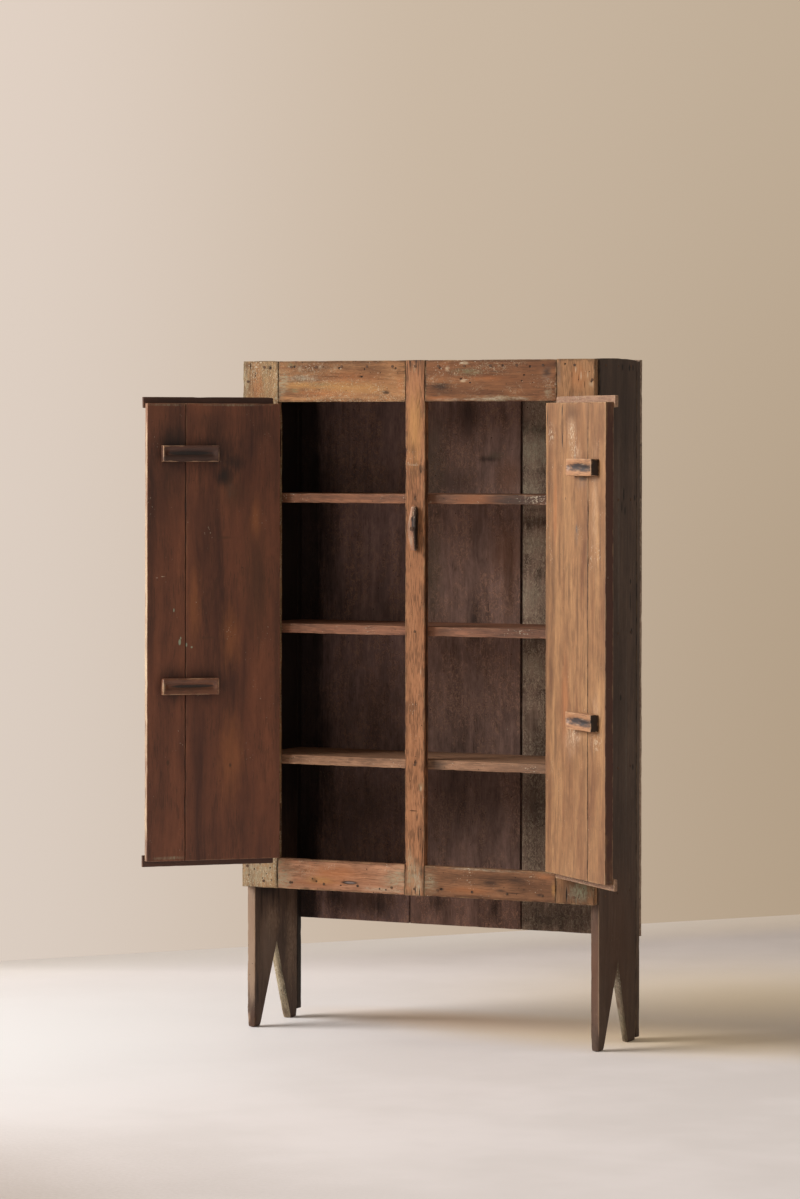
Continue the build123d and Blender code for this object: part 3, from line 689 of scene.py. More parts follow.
# %% Stiles
frame_wood = dict(light="AC7D53", dark="6C4429", tint="7E4A2B", tinting=0.42, weathered="8E8868",
                  weathering=0.4, dirtiness=0.42, dirt="2E1F16", dirt_strength=0.7, rubbed="B0916A",
                  rubbing=0.45, roughness=0.72, gloss=0.25, check_amount=0.5, pit_amount=0.35,
                  crumb_amount=0.2, crumb_strength=0.55, hair_strength=0.36, contrast=2.7,
                  curl_amount=0.5, curl_strength=0.4, grime_strength=0.55, relief=0.0011)
stiles = {
    "left_stile": dict(weathering=0.6, light="AC875F", crumb_amount=0.36, curl_amount=0.75, marks="""
    orange 45 1270 26 60, bleach 8 1290 16 90, seam 103 1290 3 90, bleach 60 40 75 60,
    chalk 30 70 40 50, bleach 20 20 50 50, seam 103 38 6 60, nail 20 30 3 3, 60 24 2.5 2.5,
    52 60 2.5 2.5, 70 36 2.5 2.5, umber 14 1328 20 10, bloom 78 1322 9 10, nail 80 1321 4 4,
    36 46 3 3, 81 51 3 3, 85 20 3 3, crack 23 1326 1.6 13, 36 1304 1.6 12"""),
    # The centre stile's right side, which faces away from the light, is painted dark as shadow.
    "centre_stile": dict(weathering=0.1, light="AE7B57", dark="815335", tint="8A5838",
                         dirtiness=0.22, dirt="4A3220", contrast=2.2, crumb_amount=0.12,
                         streaks=0.6, curl_amount=0.2, hair_amount=0.6, hair_strength=0.5, marks="""
    seam 0 1290 2 80, 55 1285 3 80, 0 38 2 60, 55 36 3 60, smoke 56 660 3 900 12 11,
    ochre 26 1170 30 150, bloom 12 1334 5 30, 30 1334 4 26, 42 1336 3 20, soot 14 1330 5 34,
    36 1322 5 40, umber 46 1325 8 50, 6 1320 4 40, bleach 26 1318 5 18, knot 43 1069 7 13,
    crack 44 1060 2 6, chalk 18 1077 22 4, scratch 27 1076 12 1.5, umber 24 1110 10 30,
    nail 28 994 2.5 6, rust 28 998 7 14, scratch 44 560 1.5 14, crack 30 480 1 8, nail 30 333 4 5,
    rust 30 333 9 12, green 45 275 9 16, scratch 45 268 3 10, crack 24 212 14 1.2,
    umber 44 160 8 70, soot 34 196 4 12, crack 38 160 1.2 34, 50 110 1.2 40, soot 46 60 5 40,
    bleach 30 40 30 70, 14 60 14 80, chalk 36 30 16 50, crack 30 14 2 16, soot 18 10 3 18,
    crack 42 8 1.5 16"""),
    # A patch of painted shade darkens the right stile's foot.
    "right_stile": dict(weathering=0.24, light="AC8059", dark="755034", crumb_amount=0.1,
                        curl_amount=0.4, marks="""
    seam 0 1290 2.5 80, 0 38 3 60, halo 94 1276 8 12, nail 24 1326 3.5 3.5, 94 1283 3.5 3.5,
    crack 42 1300 1 10, 60 1290 1 12, 76 1276 1 10, grey 8 1310 8 60, umber 55 30 90 70,
    chalk 60 30 50 30, gloom 55 30 90 60, green 70 36 40 34, crack 30 22 3 24, nail 102 38 3 3,
    orange 60 1290 30 50, scratch 52 1312 2 12, 66 1296 2 14, 84 1300 2 12"""),
}
boards(stiles, "upright", 1, frame_wood, knocks=4.0)
print(len(stiles), "stiles are dressed")

# %% Rails
rails = {
    "left_top_rail": dict(weathering=0.36, curl_amount=0.6, marks="""
    umber 4 180 5 230, halo 20 60 9 9, 16 118 9 9, 20 160 10 10, bleach 50 20 40 14,
    chalk 44 70 14 60, green 60 120 8 50, umber 40 180 12 160, orange 40 200 30 140,
    umber 18 120 26 150, 24 260 24 120, ochre 68 190 22 170, orange 82 120 16 110,
    ochre 62 60 16 60, bleach 60 8 60 16, green 75 46 9 22, 10 30 8 30, soot 80 305 8 16,
    knot 82 305 4 12, 41 234 4 9, crack 41 236 2 4, nail 15 46 4 4, 17 105 3 3, 19 173 4 4,
    22 244 3 3, 20 331 3.5 3.5, scratch 38 82 1.5 8, 46 95 1.5 8, 21 176 2 4, orange 60 345 30 18"""),
    "right_top_rail": dict(light="8D5E3C", dark="53321F", weathering=0.3, curl_amount=0.55, marks="""
    umber 4 180 5 230, chalk 98 60 6 60, 99 150 5 60, halo 22 60 8 8, 8 110 6 14, 52 104 6 12,
    umber 80 60 30 70, soot 66 45 12 40, orange 46 170 10 110, green 30 120 14 60,
    bleach 96 200 10 110, chalk 97 190 5 40, 96 258 5 26, grey 40 330 30 22, soot 32 332 14 18,
    bleach 85 335 18 16, orange 95 40 8 60, nail 20 41 4 4, 15 213 4.5 4.5, 18 287 4 4,
    crack 39 271 2.5 3, 53 264 2 2.5, 57 124 2.5 3, 48 99 2.5 5, scratch 50 112 2 8, 8 100 3 8"""),
    "left_bottom_rail": dict(light="C29070", dark="7C4E33", curl_amount=0.4, marks="""
    orange 36 170 30 120, 56 130 16 90, umber 3 180 4 260, bleach 30 340 40 40, 60 12 30 30,
    38 20 45 40, green 12 8 14 16, orange 30 150 24 90, ochre 50 120 14 60, bleach 45 325 40 50,
    chalk 66 290 10 70, hollow 53 204 6 30, sheen 53 206 3.5 20, crack 61 179 2 4,
    nail 60 41 3.5 3.5, 48 99 3 3, 54 110 3.5 3.5, 64 288 3 3, 66 306 3 3, rust 51 104 9 14"""),
    "right_bottom_rail": dict(light="8F6446", dark="593A26", weathering=0.28, curl_amount=0.35,
                              contrast=2.3, streaks=0.3, marks="""
    umber 72 180 6 260, chalk 4 150 5 150, umber 40 300 30 90, bleach 38 16 40 28,
    orange 56 120 14 90, soot 26 250 14 50, 34 180 16 50, umber 20 200 18 90, knot 57 47 6 10,
    soot 53 210 7 22, 59 315 7 16, ochre 44 352 30 8, orange 14 330 10 40, crack 57 47 3 4"""),
}
rail_chips = {"right_top_rail": [((0.0, 0.0, 0.111), 0.016, 0.006)]}
boards(rails, "rail", 4, frame_wood, rail_chips, knocks=4.0)
print(len(rails), "rails are dressed")

# %% [markdown]
# ## Sides
#
# Each side is a wide board with a narrow strip behind it.  The wide board has a notch sawn out
# of its foot.  Its outline could be modelled point by point, but it is less work to make the
# whole board and then saw the notch with a Boolean modifier, as the joiner did.  The saw's own
# material comes along with the cut, because the sawn faces are younger and greener wood.
#
# The feet are the most worn edges of the cupboard.  They get chips, which round a corner deeply.

# %% Sides
side_wood = dict(light="665143", dark="382B25", tint="4C392E", weathered="63584D", rubbed="8A7052",
                 rubbing=0.45, roughness=0.68, dirtiness=0.3, crumb_amount=0.15, crumbs="8C8068",
                 crumb_strength=0.3)
# The notch of a foot: its height, its peak's distance from the front, and what stays of the feet.
notch_height, notch_peak, front_foot, rear_foot = 0.208, 0.120, 0.028, 0.035
notch_bevels = {"left_side_board": 0.0, "right_side_board": 0.018}
crown = 0.003  # how far a side's top falls away from its middle
cut_past = 0.002  # how far the saw goes past the board


def crown_top(size):
    """Let a board's top edge fall away from its middle."""
    def bend(point):
        share = 2 * point.x / size.x - 1
        if point.z > size.z / 2:
            point.z -= crown * share * share
    return bend


def notch_saw(size, bevel):
    """The wedge that is sawn out of a side's foot, in the board's own axes, as points and faces."""
    depth, thickness = size.x, size.y
    under = cut_past / notch_height
    corners = []
    for y, slant in ((-cut_past, bevel), (thickness + cut_past, 0.0)):
        rear = depth - rear_foot - slant
        corners += [
            (notch_peak, y, notch_height),
            (rear + (rear - notch_peak) * under, y, -cut_past),
            (front_foot - (notch_peak - front_foot) * under, y, -cut_past),
        ]
    return corners, [(0, 1, 2), (5, 4, 3), (0, 3, 4, 1), (1, 4, 5, 2), (2, 5, 3, 0)]


# The left board's inner face is painted with deep shade high up in the bay.  The right board's outer face, which
# faces away from the light, has patches of painted shade and a painted shadow along its front edge near the top.
# The other marks are wear, stains and holes.
side_marks = {
    "left_side_board": """
    bare 0 230 6 200 11 26, sienna -4 280 7 160 11 26, fade 70 200 60 150, worn 200 200 50 180,
    umber 6 20 14 56 11 22, 4 26 10 42 11 22, bare 3 34 3 30 16 8, bloom 60 350 100 36,
    36 320 9 60, 100 325 12 60, 130 330 8 50, worn 100 270 60 70, soot 14 100 10 60,
    pitch 130 1130 600 760""",
    "right_side_board": """
    sienna 0 200 6 220 11 26, bare 0 180 4 220 0 4, soot 110 200 40 20, gloom 110 900 120 420,
    umber 110 260 240 320, seam 235 850 5 1300, grey 60 1100 8 500, 120 1300 10 500, 170 700 8 500,
    smoke 2 1560 8 160 0 6, gloom 120 1600 260 220, 130 520 170 180, hollow 152 1366 6 22,
    140 1335 5 18, 160 1325 5 14, 222 1356 6 10, 203 1024 6 10, 143 1682 6 10, 187 1680 6 10,
    210 1681 5 10, 196 1148 5 9, crack 196 1100 5 40, hollow 134 862 6 10, 213 684 6 10""",
}
# The left strip is painted with deep shade.
strips = {"left_rear_strip": dict(marks="pitch 15 900 60 1200"),
          "right_rear_strip": dict(marks="seam 0 850 3 1300, grey 12 850 6 1300")}
sawn_wood = dict(light="B8A88C", dark="7A6850", weathering=0.55, weathered="BCB49A", rubbing=0.0,
                 tint="5A5440", curls="D8CCB0", curl_amount=0.4)
sawn_changes = {
    "left_side_board": dict(marks="""
    bloom 152 128 24 44 1 9, soot 172 76 18 30 2 9, green 176 66 12 24 2 6,
    umber 194 16 20 26 12 16"""),
    "right_side_board": dict(light="8A7A66", dark="4E4236", weathered="8C8A74",
                             marks="umber 130 190 30 50 12 30, 160 96 20 20 16 8"),
}
sawn_size = (0.03, 0.022, 0.21)
foot_chips = [((0.004, 0.011, 0.0), 0.055, 0.007), ((0.2, 0.011, 0.0), 0.04, 0.005),
              ((0.235, 0.011, 0.0), 0.04, 0.006)]
for seed, node in enumerate(side_marks, 11):
    place, size = lay(node, "side")
    piece = board(node, "side", seed, {**side_wood, "marks": side_marks[node]}, bend=crown_top(size),
                  chips=foot_chips, cell=0.010)
    sawn = board_wood(node + "_sawn_wood", sawn_size, seed + 28.0,
                      **{**sawn_wood, **sawn_changes[node]})
    piece.data.materials.append(sawn)
    corners, sides = notch_saw(size, notch_bevels[node])
    saw = new_piece(node + "_saw", corners, sides, place, sawn)
    cut = piece.modifiers.new("notch", "BOOLEAN")
    cut.operation = "DIFFERENCE"
    cut.solver = "EXACT"
    cut.material_mode = "TRANSFER"
    cut.object = saw
    bpy.context.view_layer.update()
    shape = bpy.data.meshes.new_from_object(piece.evaluated_get(bpy.context.evaluated_depsgraph_get()))
    piece.modifiers.clear()
    piece.data = shape
    bpy.data.objects.remove(saw)
    print(node, "has", len(shape.polygons), "faces after the notch is sawn")
boards(strips, "side", 13, side_wood)

# %% [markdown]
# ## Back and shelves
#
# Three boards close the back.  They never saw the sun, so they are the colour that the whole
# cupboard had under its dirt: red brown with black streaks that run down from the top, where
# something was spilt.  The shade of the bays is painted on them as well: deep shade at the left of
# the left bay, and softer painted shade lower down.  The right one is another wood, paler and
# chalky, with smudges across it, and with painted light at the top of its top bay.  The shelves
# show their front edges most, and these are rubbed by everything that was slid out; towards the
# right their fronts are painted darker as shade.

# %% Back
back_wood = dict(light="95766A", dark="554139", tint="604339", tinting=0.42, weathered="867A68",
                 weather_strength=0.5, rubbing=0.2, rubbed="7E6656", roughness=0.78, gloss=0.2,
                 dirtiness=0.36, dirt="241A18", crumb_amount=0.08, crumb_strength=0.3, hair_amount=0.3,
                 hair_strength=0.5, contrast=2.2, streaks=0.3, fibre=1.25, curls="B48A72",
                 curl_amount=0.66, curl_width=0.07, curl_stretch=(120.0, 120.0, 60.0), relief=0.0012)
backs = {
    # Painted shade: deep shade along the left of this board, where the left bay lies in shadow, and softer painted
    # shade lower down.  The blooms and soot are dirt.
    "back_board_left": dict(light="957870", dark="584642", marks="""
    pitch 12 723 84 1500, bloom 92 1000 60 500, 90 400 50 300, gloom 230 560 220 200,
    230 330 220 160, umber 200 60 160 60, gloom 200 300 240 140, 180 50 200 70, soot 120 60 40 50,
    250 40 30 50"""),
    # Painted shade near the top and in the lower bays; the rest is dirt, moss and dark seams.
    "back_board_middle": dict(marks="""
    gloom 160 1330 70 130, 160 1310 40 90, soot 222 1196 46 12, moss 240 1205 40 14,
    gloom 150 1130 90 60, sienna 280 1150 60 70, 270 960 70 100, soot 180 780 30 120,
    umber 280 900 30 200, moss 60 1180 60 200, 60 900 50 200, gloom 170 460 240 260,
    160 290 240 150, seam 313 723 4 1100, 0 723 4 1100, soot 80 60 40 50, 240 50 30 60"""),
    # Painted light: the two wide chalk marks at the top lift the top bay, which the rail shades.  Painted shade
    # darkens the lower bays.
    "back_board_right": dict(light="B29682", dark="56443A", weathered="B09C8A", weathering=0.5,
                             weather_stretch=(11.0, 11.0, 36.0), weather_strength=0.7,
                             dirt_stretch=(6.0, 6.0, 30.0), dirtiness=0.5, dirt_strength=0.65,
                             tint="5C463A", curls="CAB69C", curl_amount=0.9, curl_strength=0.62,
                             curl_stretch=(130.0, 130.0, 70.0), crumb_amount=0.2, marks="""
    band 60 1270 140 30, chalk 40 1230 130 80, 30 1215 90 44, band 90 1160 90 16, chalk 20 1110 60 50,
    band 50 1035 160 24, chalk 20 980 90 40, band 90 905 100 30, chalk 20 850 60 60,
    band 40 740 160 34, chalk 20 670 80 50, gloom 60 480 180 90, 60 330 160 160, soot 100 40 260 110,
    seam 0 723 4 1100"""),
}
boards(backs, "upright", 21, back_wood)
print(len(backs), "boards of the back are dressed")

# %% Shelves
shelf_wood = dict(light="9C6E53", dark="644534", tint="744A3C", weathered="8A7660", weathering=0.25,
                  rubbed="A47B5C", rubbing=0.35, crumb_amount=0.2, hair_amount=0.6)
shelves = {
    "top_board": {},
    # Painted shade darkens the right part of each shelf's front edge.
    "upper_shelf": dict(light="A5704F", dark="633D2A", tint="74452F", weathering=0.12, marks="""
    gloom 0 740 40 330 12 60, 0 760 40 300 12 60, 0 700 40 260 12 60, orange 0 620 20 90 12 40,
    speckle 0 820 20 90 12 40, umber 0 530 20 40 12 40, 0 60 20 60 12 40"""),
    "middle_shelf": dict(light="A36F52", dark="613F2F", tint="704436",
                         marks="umber 0 540 30 40 12 40, gloom 0 780 40 280 12 60"),
    "lower_shelf": dict(light="B58A6A", dark="79563F", tint="8E6248", marks="""
    umber 0 20 20 40 12 40, soot 0 520 12 40 12 40, gloom 0 780 40 200 12 60"""),
    "bottom_board": {},
}
shelf_chips = {"upper_shelf": [((0.0, 0.024, 0.445), 0.02, 0.008)],
               "middle_shelf": [((0.0, 0.024, 0.56), 0.05, 0.004)],
               "lower_shelf": [((0.0, 0.024, 0.02), 0.07, 0.006)]}
boards(shelves, "shelf", 24, shelf_wood, shelf_chips, knocks=4.0)
print("the shelves are dressed")

# %% [markdown]
# ## Doors
#
# Each door is two boards, held by a batten nailed along its top and foot.  The left one hangs
# in the shade, and its wood is painted nearly black, partly as hand grease round its cleats and
# partly as that shade, with patches of painted shade besides; the right one is the same wood
# rubbed back to orange.  The left one's free edge is bare of stain, with specks of old paint, and
# the right one's free edge is painted dark as shade.  The faces that are outside when the doors
# are shut share one brown, weathered at the foot, with a patch of painted shade near the top.
#
# A cleat is a short bar across the seam.  A groove is planed along its face, dying out before
# the ends, and the groove is painted darker as the shade that lies in it; on the right cleats a
# painted shadow also lies at one end.  The groove is made by pushing the points of the face in,
# deeper towards the middle line.

# %% Door boards
# The left door's wood is darker than the right's, partly as hand grease and partly as painted shade, because it
# hangs out of the light.
left_door_wood_with_painted_shade = dict(light="814D34", dark="47281D", tint="38261C", tinting=0.34, tint_strength=0.35,
                      weathered="5E4838", weathering=0.14, weather_strength=0.4, dirtiness=0.34,
                      dirt="1E1613", rubbed="9A7250", rubbing=0.35, roughness=0.5, gloss=0.4,
                      breadth=15.0, contrast=2.7, streaks=0.25, fibre=0.45, check_amount=0.1,
                      pit_amount=0.05, crumb_amount=0.0, hair_amount=0.4, relief=0.0003)
right_door_wood = dict(light="9F7750", dark="6C462D", tint="7C5030", tinting=0.5, tint_strength=0.5,
                       weathered="A8937E", weathering=0.16, weather_strength=0.4, dirtiness=0.14,
                       dirt="4A3324", dirt_strength=0.5, rubbed="B8966F", rubbing=0.4, roughness=0.52,
                       gloss=0.4, contrast=2.8, streaks=0.34, fibre=0.8, curls="C4A684",
                       curl_amount=0.3, curl_strength=0.35, pit_amount=0.08, crumb_amount=0.06,
                       hair_amount=0.45, hairs="5A3A26", relief=0.0004)
inner = 22.0  # the face that a door turns inwards, in millimetres from its outer one
door_marks = {
    # The left door's boards carry patches of painted shade; the blooms round the cleats are hand grease.
    "left_door_wide_board": """
    bloom 175 1025 110 80, 150 965 40 34, soot 148 962 34 34, grey 132 930 16 24,
    umber 130 925 50 60, gloom 190 1100 90 50, bloom 200 440 80 60, umber 60 700 60 260,
    orange 225 640 24 150, 130 560 40 120, 66 860 20 80, 130 260 50 160, umber 150 812 40 7,
    190 560 30 6, knot 131 238 5 8, bleach 125 1146 120 4, paint 246 543 3 6, 232 537 3 3,
    soot 120 1000 40 30, gloom 10 575 16 600""",
    "left_door_narrow_board": """
    bloom 30 1040 70 80, 30 440 55 70, gloom 40 1010 80 220, paint 15 550 4 9, 12 560 2 4,
    30 630 2 6, knot 45 248 5 9, scratch 60 715 8 1.5, 74 712 4 1.5, gloom 90 800 14 500,
    bare 101 575 4 900 11 20, halo 101 575 3 900 11 20, 101 560 3 900 11 20, bleach 40 8 60 6,
    50 1146 70 4""",
    "right_door_wide_board": """
    worn 95 1080 40 70, 60 1010 40 60, speckle 92 1078 34 46, 80 1030 34 60, grey 74 1000 16 50,
    speckle 214 1075 30 40, 80 350 60 40, umber 225 950 16 120, crack 150 1132 4 22, 149 1060 4 30,
    umber 149 1090 12 60, seam 0 575 3 1500, umber 90 1125 60 30, blue 65 844 5 14,
    grey 65 830 14 40, knot 129 917 4 6, halo 226 820 5 6, soot 30 966 40 8, grey 40 960 50 30,
    orange 190 900 16 160, umber 200 700 24 160, 165 760 8 140, 215 480 20 200, 228 760 14 240,
    crack 238 1110 3 40, umber 110 700 8 120, 60 640 9 160, 186 330 14 120, orange 130 420 30 160,
    worn 100 330 60 60, 60 345 50 20, umber 240 600 8 500""",
    # The right door's free edge, which the light doesn't reach, is painted dark as shade.
    "right_door_narrow_board": """
    stain 0 575 2.5 760 11 24, worn 50 420 30 60, umber 30 800 8 160, speckle 50 340 40 40,
    worn 60 900 30 200, grey 62 965 26 14, green 2 8 3 5 11 20""",
}
# A patch of painted shade lies near the top of the outer faces.
outer_face = """
    outside 120 575 900 4000 0 9, umber 190 880 60 260 0 9, 60 300 34 240 0 9,
    orange 110 620 40 300 0 9, gloom 30 1040 90 120 0 9, bleach 120 60 200 60 0 9,
    grey 220 480 26 200 0 9, soot 20 660 26 90 0 9"""
door_woods = {"left": left_door_wood_with_painted_shade, "right": right_door_wood}
batten_changes = {"left": dict(light="5C3A2A", dark="33201A", rubbing=0.2),
                  "right": dict(light="9E7A62", dark="6E4E3C", curl_amount=0.7, crumb_amount=0.3)}
for hand, first_seed in (("left", 50), ("right", 60)):
    parts = ("wide_board", "narrow_board", "top_batten", "bottom_batten")
    for seed, part in enumerate(parts, first_seed):
        node = f"{hand}_door_{part}"
        if node in door_marks:
            marks = f"{outer_face}, {door_marks[node]}"
            board(node, "upright", seed, {**door_woods[hand], "marks": marks, "face": inner})
        else:
            board(node, "rail", seed, {**door_woods[hand], **batten_changes[hand]})
print("the doors are dressed")

# %% Cleats
groove_depths = {"left": 0.009, "right": 0.005}
groove_width = 0.0085
groove_stop = 0.011  # over this length the groove dies out


def groove_face(size, depth):
    """Plane a groove along the middle of a cleat's face that dies out before its ends."""
    def bend(point):
        if point.y < size.y * 0.55:  # the far half of the cleat stays as it is
            return
        across = math.exp(-((point.x - size.x / 2) / groove_width) ** 2)
        to_end = min(point.z, size.z - point.z)
        along = min(1.0, max(0.0, (to_end - groove_stop * 0.4) / groove_stop))
        point.y -= depth * across * along
    return bend


cleat_wood = dict(light="6C4636", dark="38221A", tint="2E1C15", tinting=0.3, weathering=0.05,
                  rubbed="B8926E", rubbing=0.8, rub_reach=0.0032, roughness=0.42, gloss=0.5,
                  crumb_amount=0.0, relief=0.0004)
cleat_changes = {"left": {}, "right": dict(light="B98C68", dark="8A5E40", tint="94623E"),
                 "left_door_lower_cleat": dict(light="8C5A3E", dark="533224", tint="643C28")}
for hand, first_seed in (("left", 54), ("right", 64)):
    for seed, part in enumerate(("upper_cleat", "lower_cleat"), first_seed):
        node = f"{hand}_door_{part}"
        place, size = lay(node, "rail")
        middle, depth = size.x * 500, groove_depths[hand]
        grooved = inner - depth * 1000
        # Inside each groove a cleat is painted darker as shade, and on the right cleats a painted shadow lies at
        # one end.
        if node == "left_door_lower_cleat":
            marks = f"""umber {middle - 1} {size.z * 460} 11 {size.z * 560} {grooved} 8,
            smoke {middle - 1} {size.z * 430} 5 {size.z * 480} {grooved} 4,
            halo {middle} {size.z * 1000} 20 8 {inner} 8, bare {middle} {size.z * 1000} 22 3 22 4"""
        elif hand == "left":
            marks = f"""bloom {middle} {size.z * 500} 16 {size.z * 560} {inner} 16,
            smoke {middle - 2} {size.z * 500} 7 {size.z * 470} {grooved} 5,
            bloom {middle} 0 26 5 16 16, bare {middle} {size.z * 1000} 22 2.5 22 4"""
        else:
            marks = f"""scrape {middle} 50 12 110 {inner} 16, blue {middle} 60 13 110 {inner} 16,
            soot {middle} 40 5 80 {grooved} 4, halo {middle - 7} 50 2 14 {inner},
            {middle + 7} 80 2 14 {inner}, smoke {middle} 0 60 3 11 30, {middle} 0 40 3 11 30"""
        changes = cleat_changes.get(node, cleat_changes[hand])
        board(node, "rail", seed, {**cleat_wood, **changes, "marks": marks},
              radius=0.0018, cell=0.003, bend=groove_face(size, depth))
print("grooves", [depth * 1000 for depth in groove_depths.values()], "mm deep")

# %% [markdown]
# ## The turn button
#
# The button that holds both doors shut is whittled with a knife from a scrap of branch.  It is
# thick and wide a little above its middle, thin at its ends and sways as the branch did.  A
# plain worn board is bent to that shape: each slice along its length gets its own width,
# thickness and sideways shift.

# %% Turn button
def whittle(size):
    """Narrow and thin a board towards its ends, and let it sway."""
    middle = size.x / 2

    def bend(point):
        # Its ends are three fifths as wide and three quarters as thick as its middle.  It sways
        # by under two millimetres, its front is scooped out, and one edge of it is cut back.
        share = point.z / size.z
        full = max(0.0, math.sin(math.pi * (0.12 + 0.76 * share)))
        wide = 0.52 + 0.46 * full ** 2
        thick = 0.62 + 0.38 * full
        sway = 0.0018 * math.sin(share * 6.0 + 2.0)
        lump = 0.07 * noise.noise(point * 70)
        scoop = 0.0022 * math.exp(-((share - 0.6) / 0.14) ** 2 - ((point.x - middle) / 0.004) ** 2)
        front = 1 - point.y / size.y
        point.y = size.y - (size.y - point.y) * thick
        point.y += front * (0.004 * max(0.0, point.x / size.x - 0.55) + scoop)
        point.x = middle + (point.x - middle) * (wide + lump) + sway
    return bend


place, size = lay("turn_button", "upright")
# Its right flank and its hollow are painted dark as shade.
button_wood = dict(light="C0906F", dark="7A503C", tint="64412F", tinting=0.3, rubbed="C09A7C",
                   rubbing=0.2, rub_reach=0.004, roughness=0.5, gloss=0.45, check_amount=0.5,
                   dirtiness=0.3, relief=0.0008, marks="""
    stain 13 66 3.5 24, hollow 12 78 3.5 8 2 8, 9 54 3.5 6 2 8, 14 64 2 16 2 8, 24 55 8 75 9 30,
    crack 14 92 1.2 14, bare 5 70 3 30 6 9, 10 24 5 16, smoke 20 55 6 90 9 40, bloom 14 106 8 8,
    umber 1 60 2.5 40 6 12""")
board("turn_button", "upright", 70.0, button_wood, radius=0.004, cell=0.003, bend=whittle(size))
print("button", [round(c * 1000) for c in size], "mm")

# %% [markdown]
# ## Iron
#
# Hinges and nails keep the shapes that they came with.  Their iron is dark where it is sound and
# brown where it rusts, and rust is not a metal: it is dull, and it doesn't mirror.  One mask
# drives the colour, the roughness and the metallic value together.

# %% Iron
def old_iron(name, sound, rusty, rusting):
    """An iron of two colours; the more it rusts, the more of it is the second."""
    iron, steps, shader = new_material(name)
    rust = use(steps, "patches", Vector=steps.own_axes(), Seed=80.0, Stretch=(90.0, 90.0, 90.0),
               Amount=rusting, Blur=0.25)["Mask"]
    steps.put(steps.mix(rust, tone(sound), tone(rusty)), shader.inputs["Base Color"])
    steps.put(steps.minus(0.7, steps.times(rust, 0.65)), shader.inputs["Metallic"])
    steps.put(steps.smooth(rust, 0.0, 1.0, 0.5, 0.88), shader.inputs["Roughness"])
    steps.bump(rust, 0.6, 0.0004, shader)
    return iron


irons = {"hinge_iron": old_iron("old_hinge_iron", "332A25", "55392A", 0.6),
         "nail_iron": old_iron("old_nail_iron", "3C2C22", "5E412C", 0.75)}
for node, thing in frame["nodes"].items():
    if slot_of_node[node] in irons:
        for material_slot in thing.material_slots:
            material_slot.material = irons[slot_of_node[node]]
print("iron on", sum(slot in irons for slot in slot_of_node.values()), "nodes")

# %% [markdown]
# ## Floor and wall
#
# The cupboard stands on a pale screed, a good step in front of a plastered wall.  The floor is
# lit like any surface, so the cupboard's shadow falls on it, and patches of painted light and shade
# lie over it: a pale pool towards the window, a painted shadow at the front left and warm tints that
# lighten the cupboard's shadow.  Near the wall the floor is painted lighter and glows a little to
# the camera.  The wall is only a backdrop: seen straight by the camera it shines by itself, with
# the window's light painted on it, cream near the window, tan away from it and paler higher up,
# and to every other ray it is plain plaster.  So its colour can be chosen without a lamp that would
# also change the cupboard.  From behind, the wall is clear.

# %% Floor and wall
def stage_plane(name, corners):
    """A four-sided plane that is stage only, as the steps and the shader of its material."""
    mesh = bpy.data.meshes.new(name)
    mesh.from_pydata([tuple(corner) for corner in corners], [], [(0, 1, 2, 3)])
    material, steps, shader = new_material(name)
    mesh.materials.append(material)
    new_object(name, mesh)
    return steps, shader


def glow_to_camera(steps, shader, colour, share=1.0):
    """Show a share of a plain colour to the camera and its mirrors, and to other rays none of it."""
    path = steps.add("ShaderNodeLightPath").outputs
    seen = steps.math("MAXIMUM", path["Is Camera Ray"], path["Is Glossy Ray"])
    seen = steps.math("MAXIMUM", seen, path["Is Transmission Ray"])
    glow = steps.add("ShaderNodeEmission", (colour,)).outputs[0]
    both = steps.mix_shaders(steps.times(seen, share), shader.outputs[0], glow)
    steps.put(both, steps.tree.nodes["Material Output"].inputs["Surface"])


def clear_from_behind(steps):
    """Let a surface be seen through from its back, so that it never hides the cupboard."""
    end = steps.tree.nodes["Material Output"].inputs["Surface"]
    behind = steps.add("ShaderNodeNewGeometry").outputs["Backfacing"]
    clear = steps.add("ShaderNodeBsdfTransparent").outputs[0]
    steps.put(steps.mix_shaders(behind, end.links[0].from_socket, clear), end)


floor_reach, wall_length, wall_height = 30, 30, 8
steps, shader = stage_plane("floor", [(floor_reach * x, floor_reach * y, 0) for x, y in
                                      ((-1, -1), (1, -1), (1, 1), (-1, 1))])
on_floor = steps.own_axes()
blotches = steps.noise(on_floor, (1.3, 1.3, 1.3), detail=4.0, roughness=0.6)
floor_colour = steps.mix(steps.smooth(blotches, 0.35, 0.65), tone("EFE8E7"), tone("E6DFDD"))
# Painted light and shade on the floor, each as its colour, the middle of its patch and how far the patch reaches,
# in metres: a pale pool towards the window, a painted shadow at the front left, and warm tints that lighten and
# colour the cupboard's shadow.
FLOOR_PAINTED_LIGHT_AND_SHADE = [
    ("F2F1F2", (-1.0, -0.5), (1.6, 2.2)), ("AFA297", (-0.3, -2.7), (1.7, 1.4)),
    ("E2D2BA", (0.5, 1.1), (1.1, 1.3)), ("F8E4C6", (0.5, 0.3), (0.9, 0.38)),
    ("E8D2BD", (-0.02, 0.36), (0.62, 0.24)),
]
for colour, place, extent in FLOOR_PAINTED_LIGHT_AND_SHADE:
    tinted = use(steps, "spot", Vector=on_floor, Place=(*place, 0.0), Size=(*extent, 1.0), Ragged=0.3,
                 Soft=1.0)["Mask"]
    floor_colour = steps.mix(tinted, floor_colour, tone(colour))
shader.inputs["Roughness"].default_value = 0.55
shader.inputs["Specular IOR Level"].default_value = 0.12

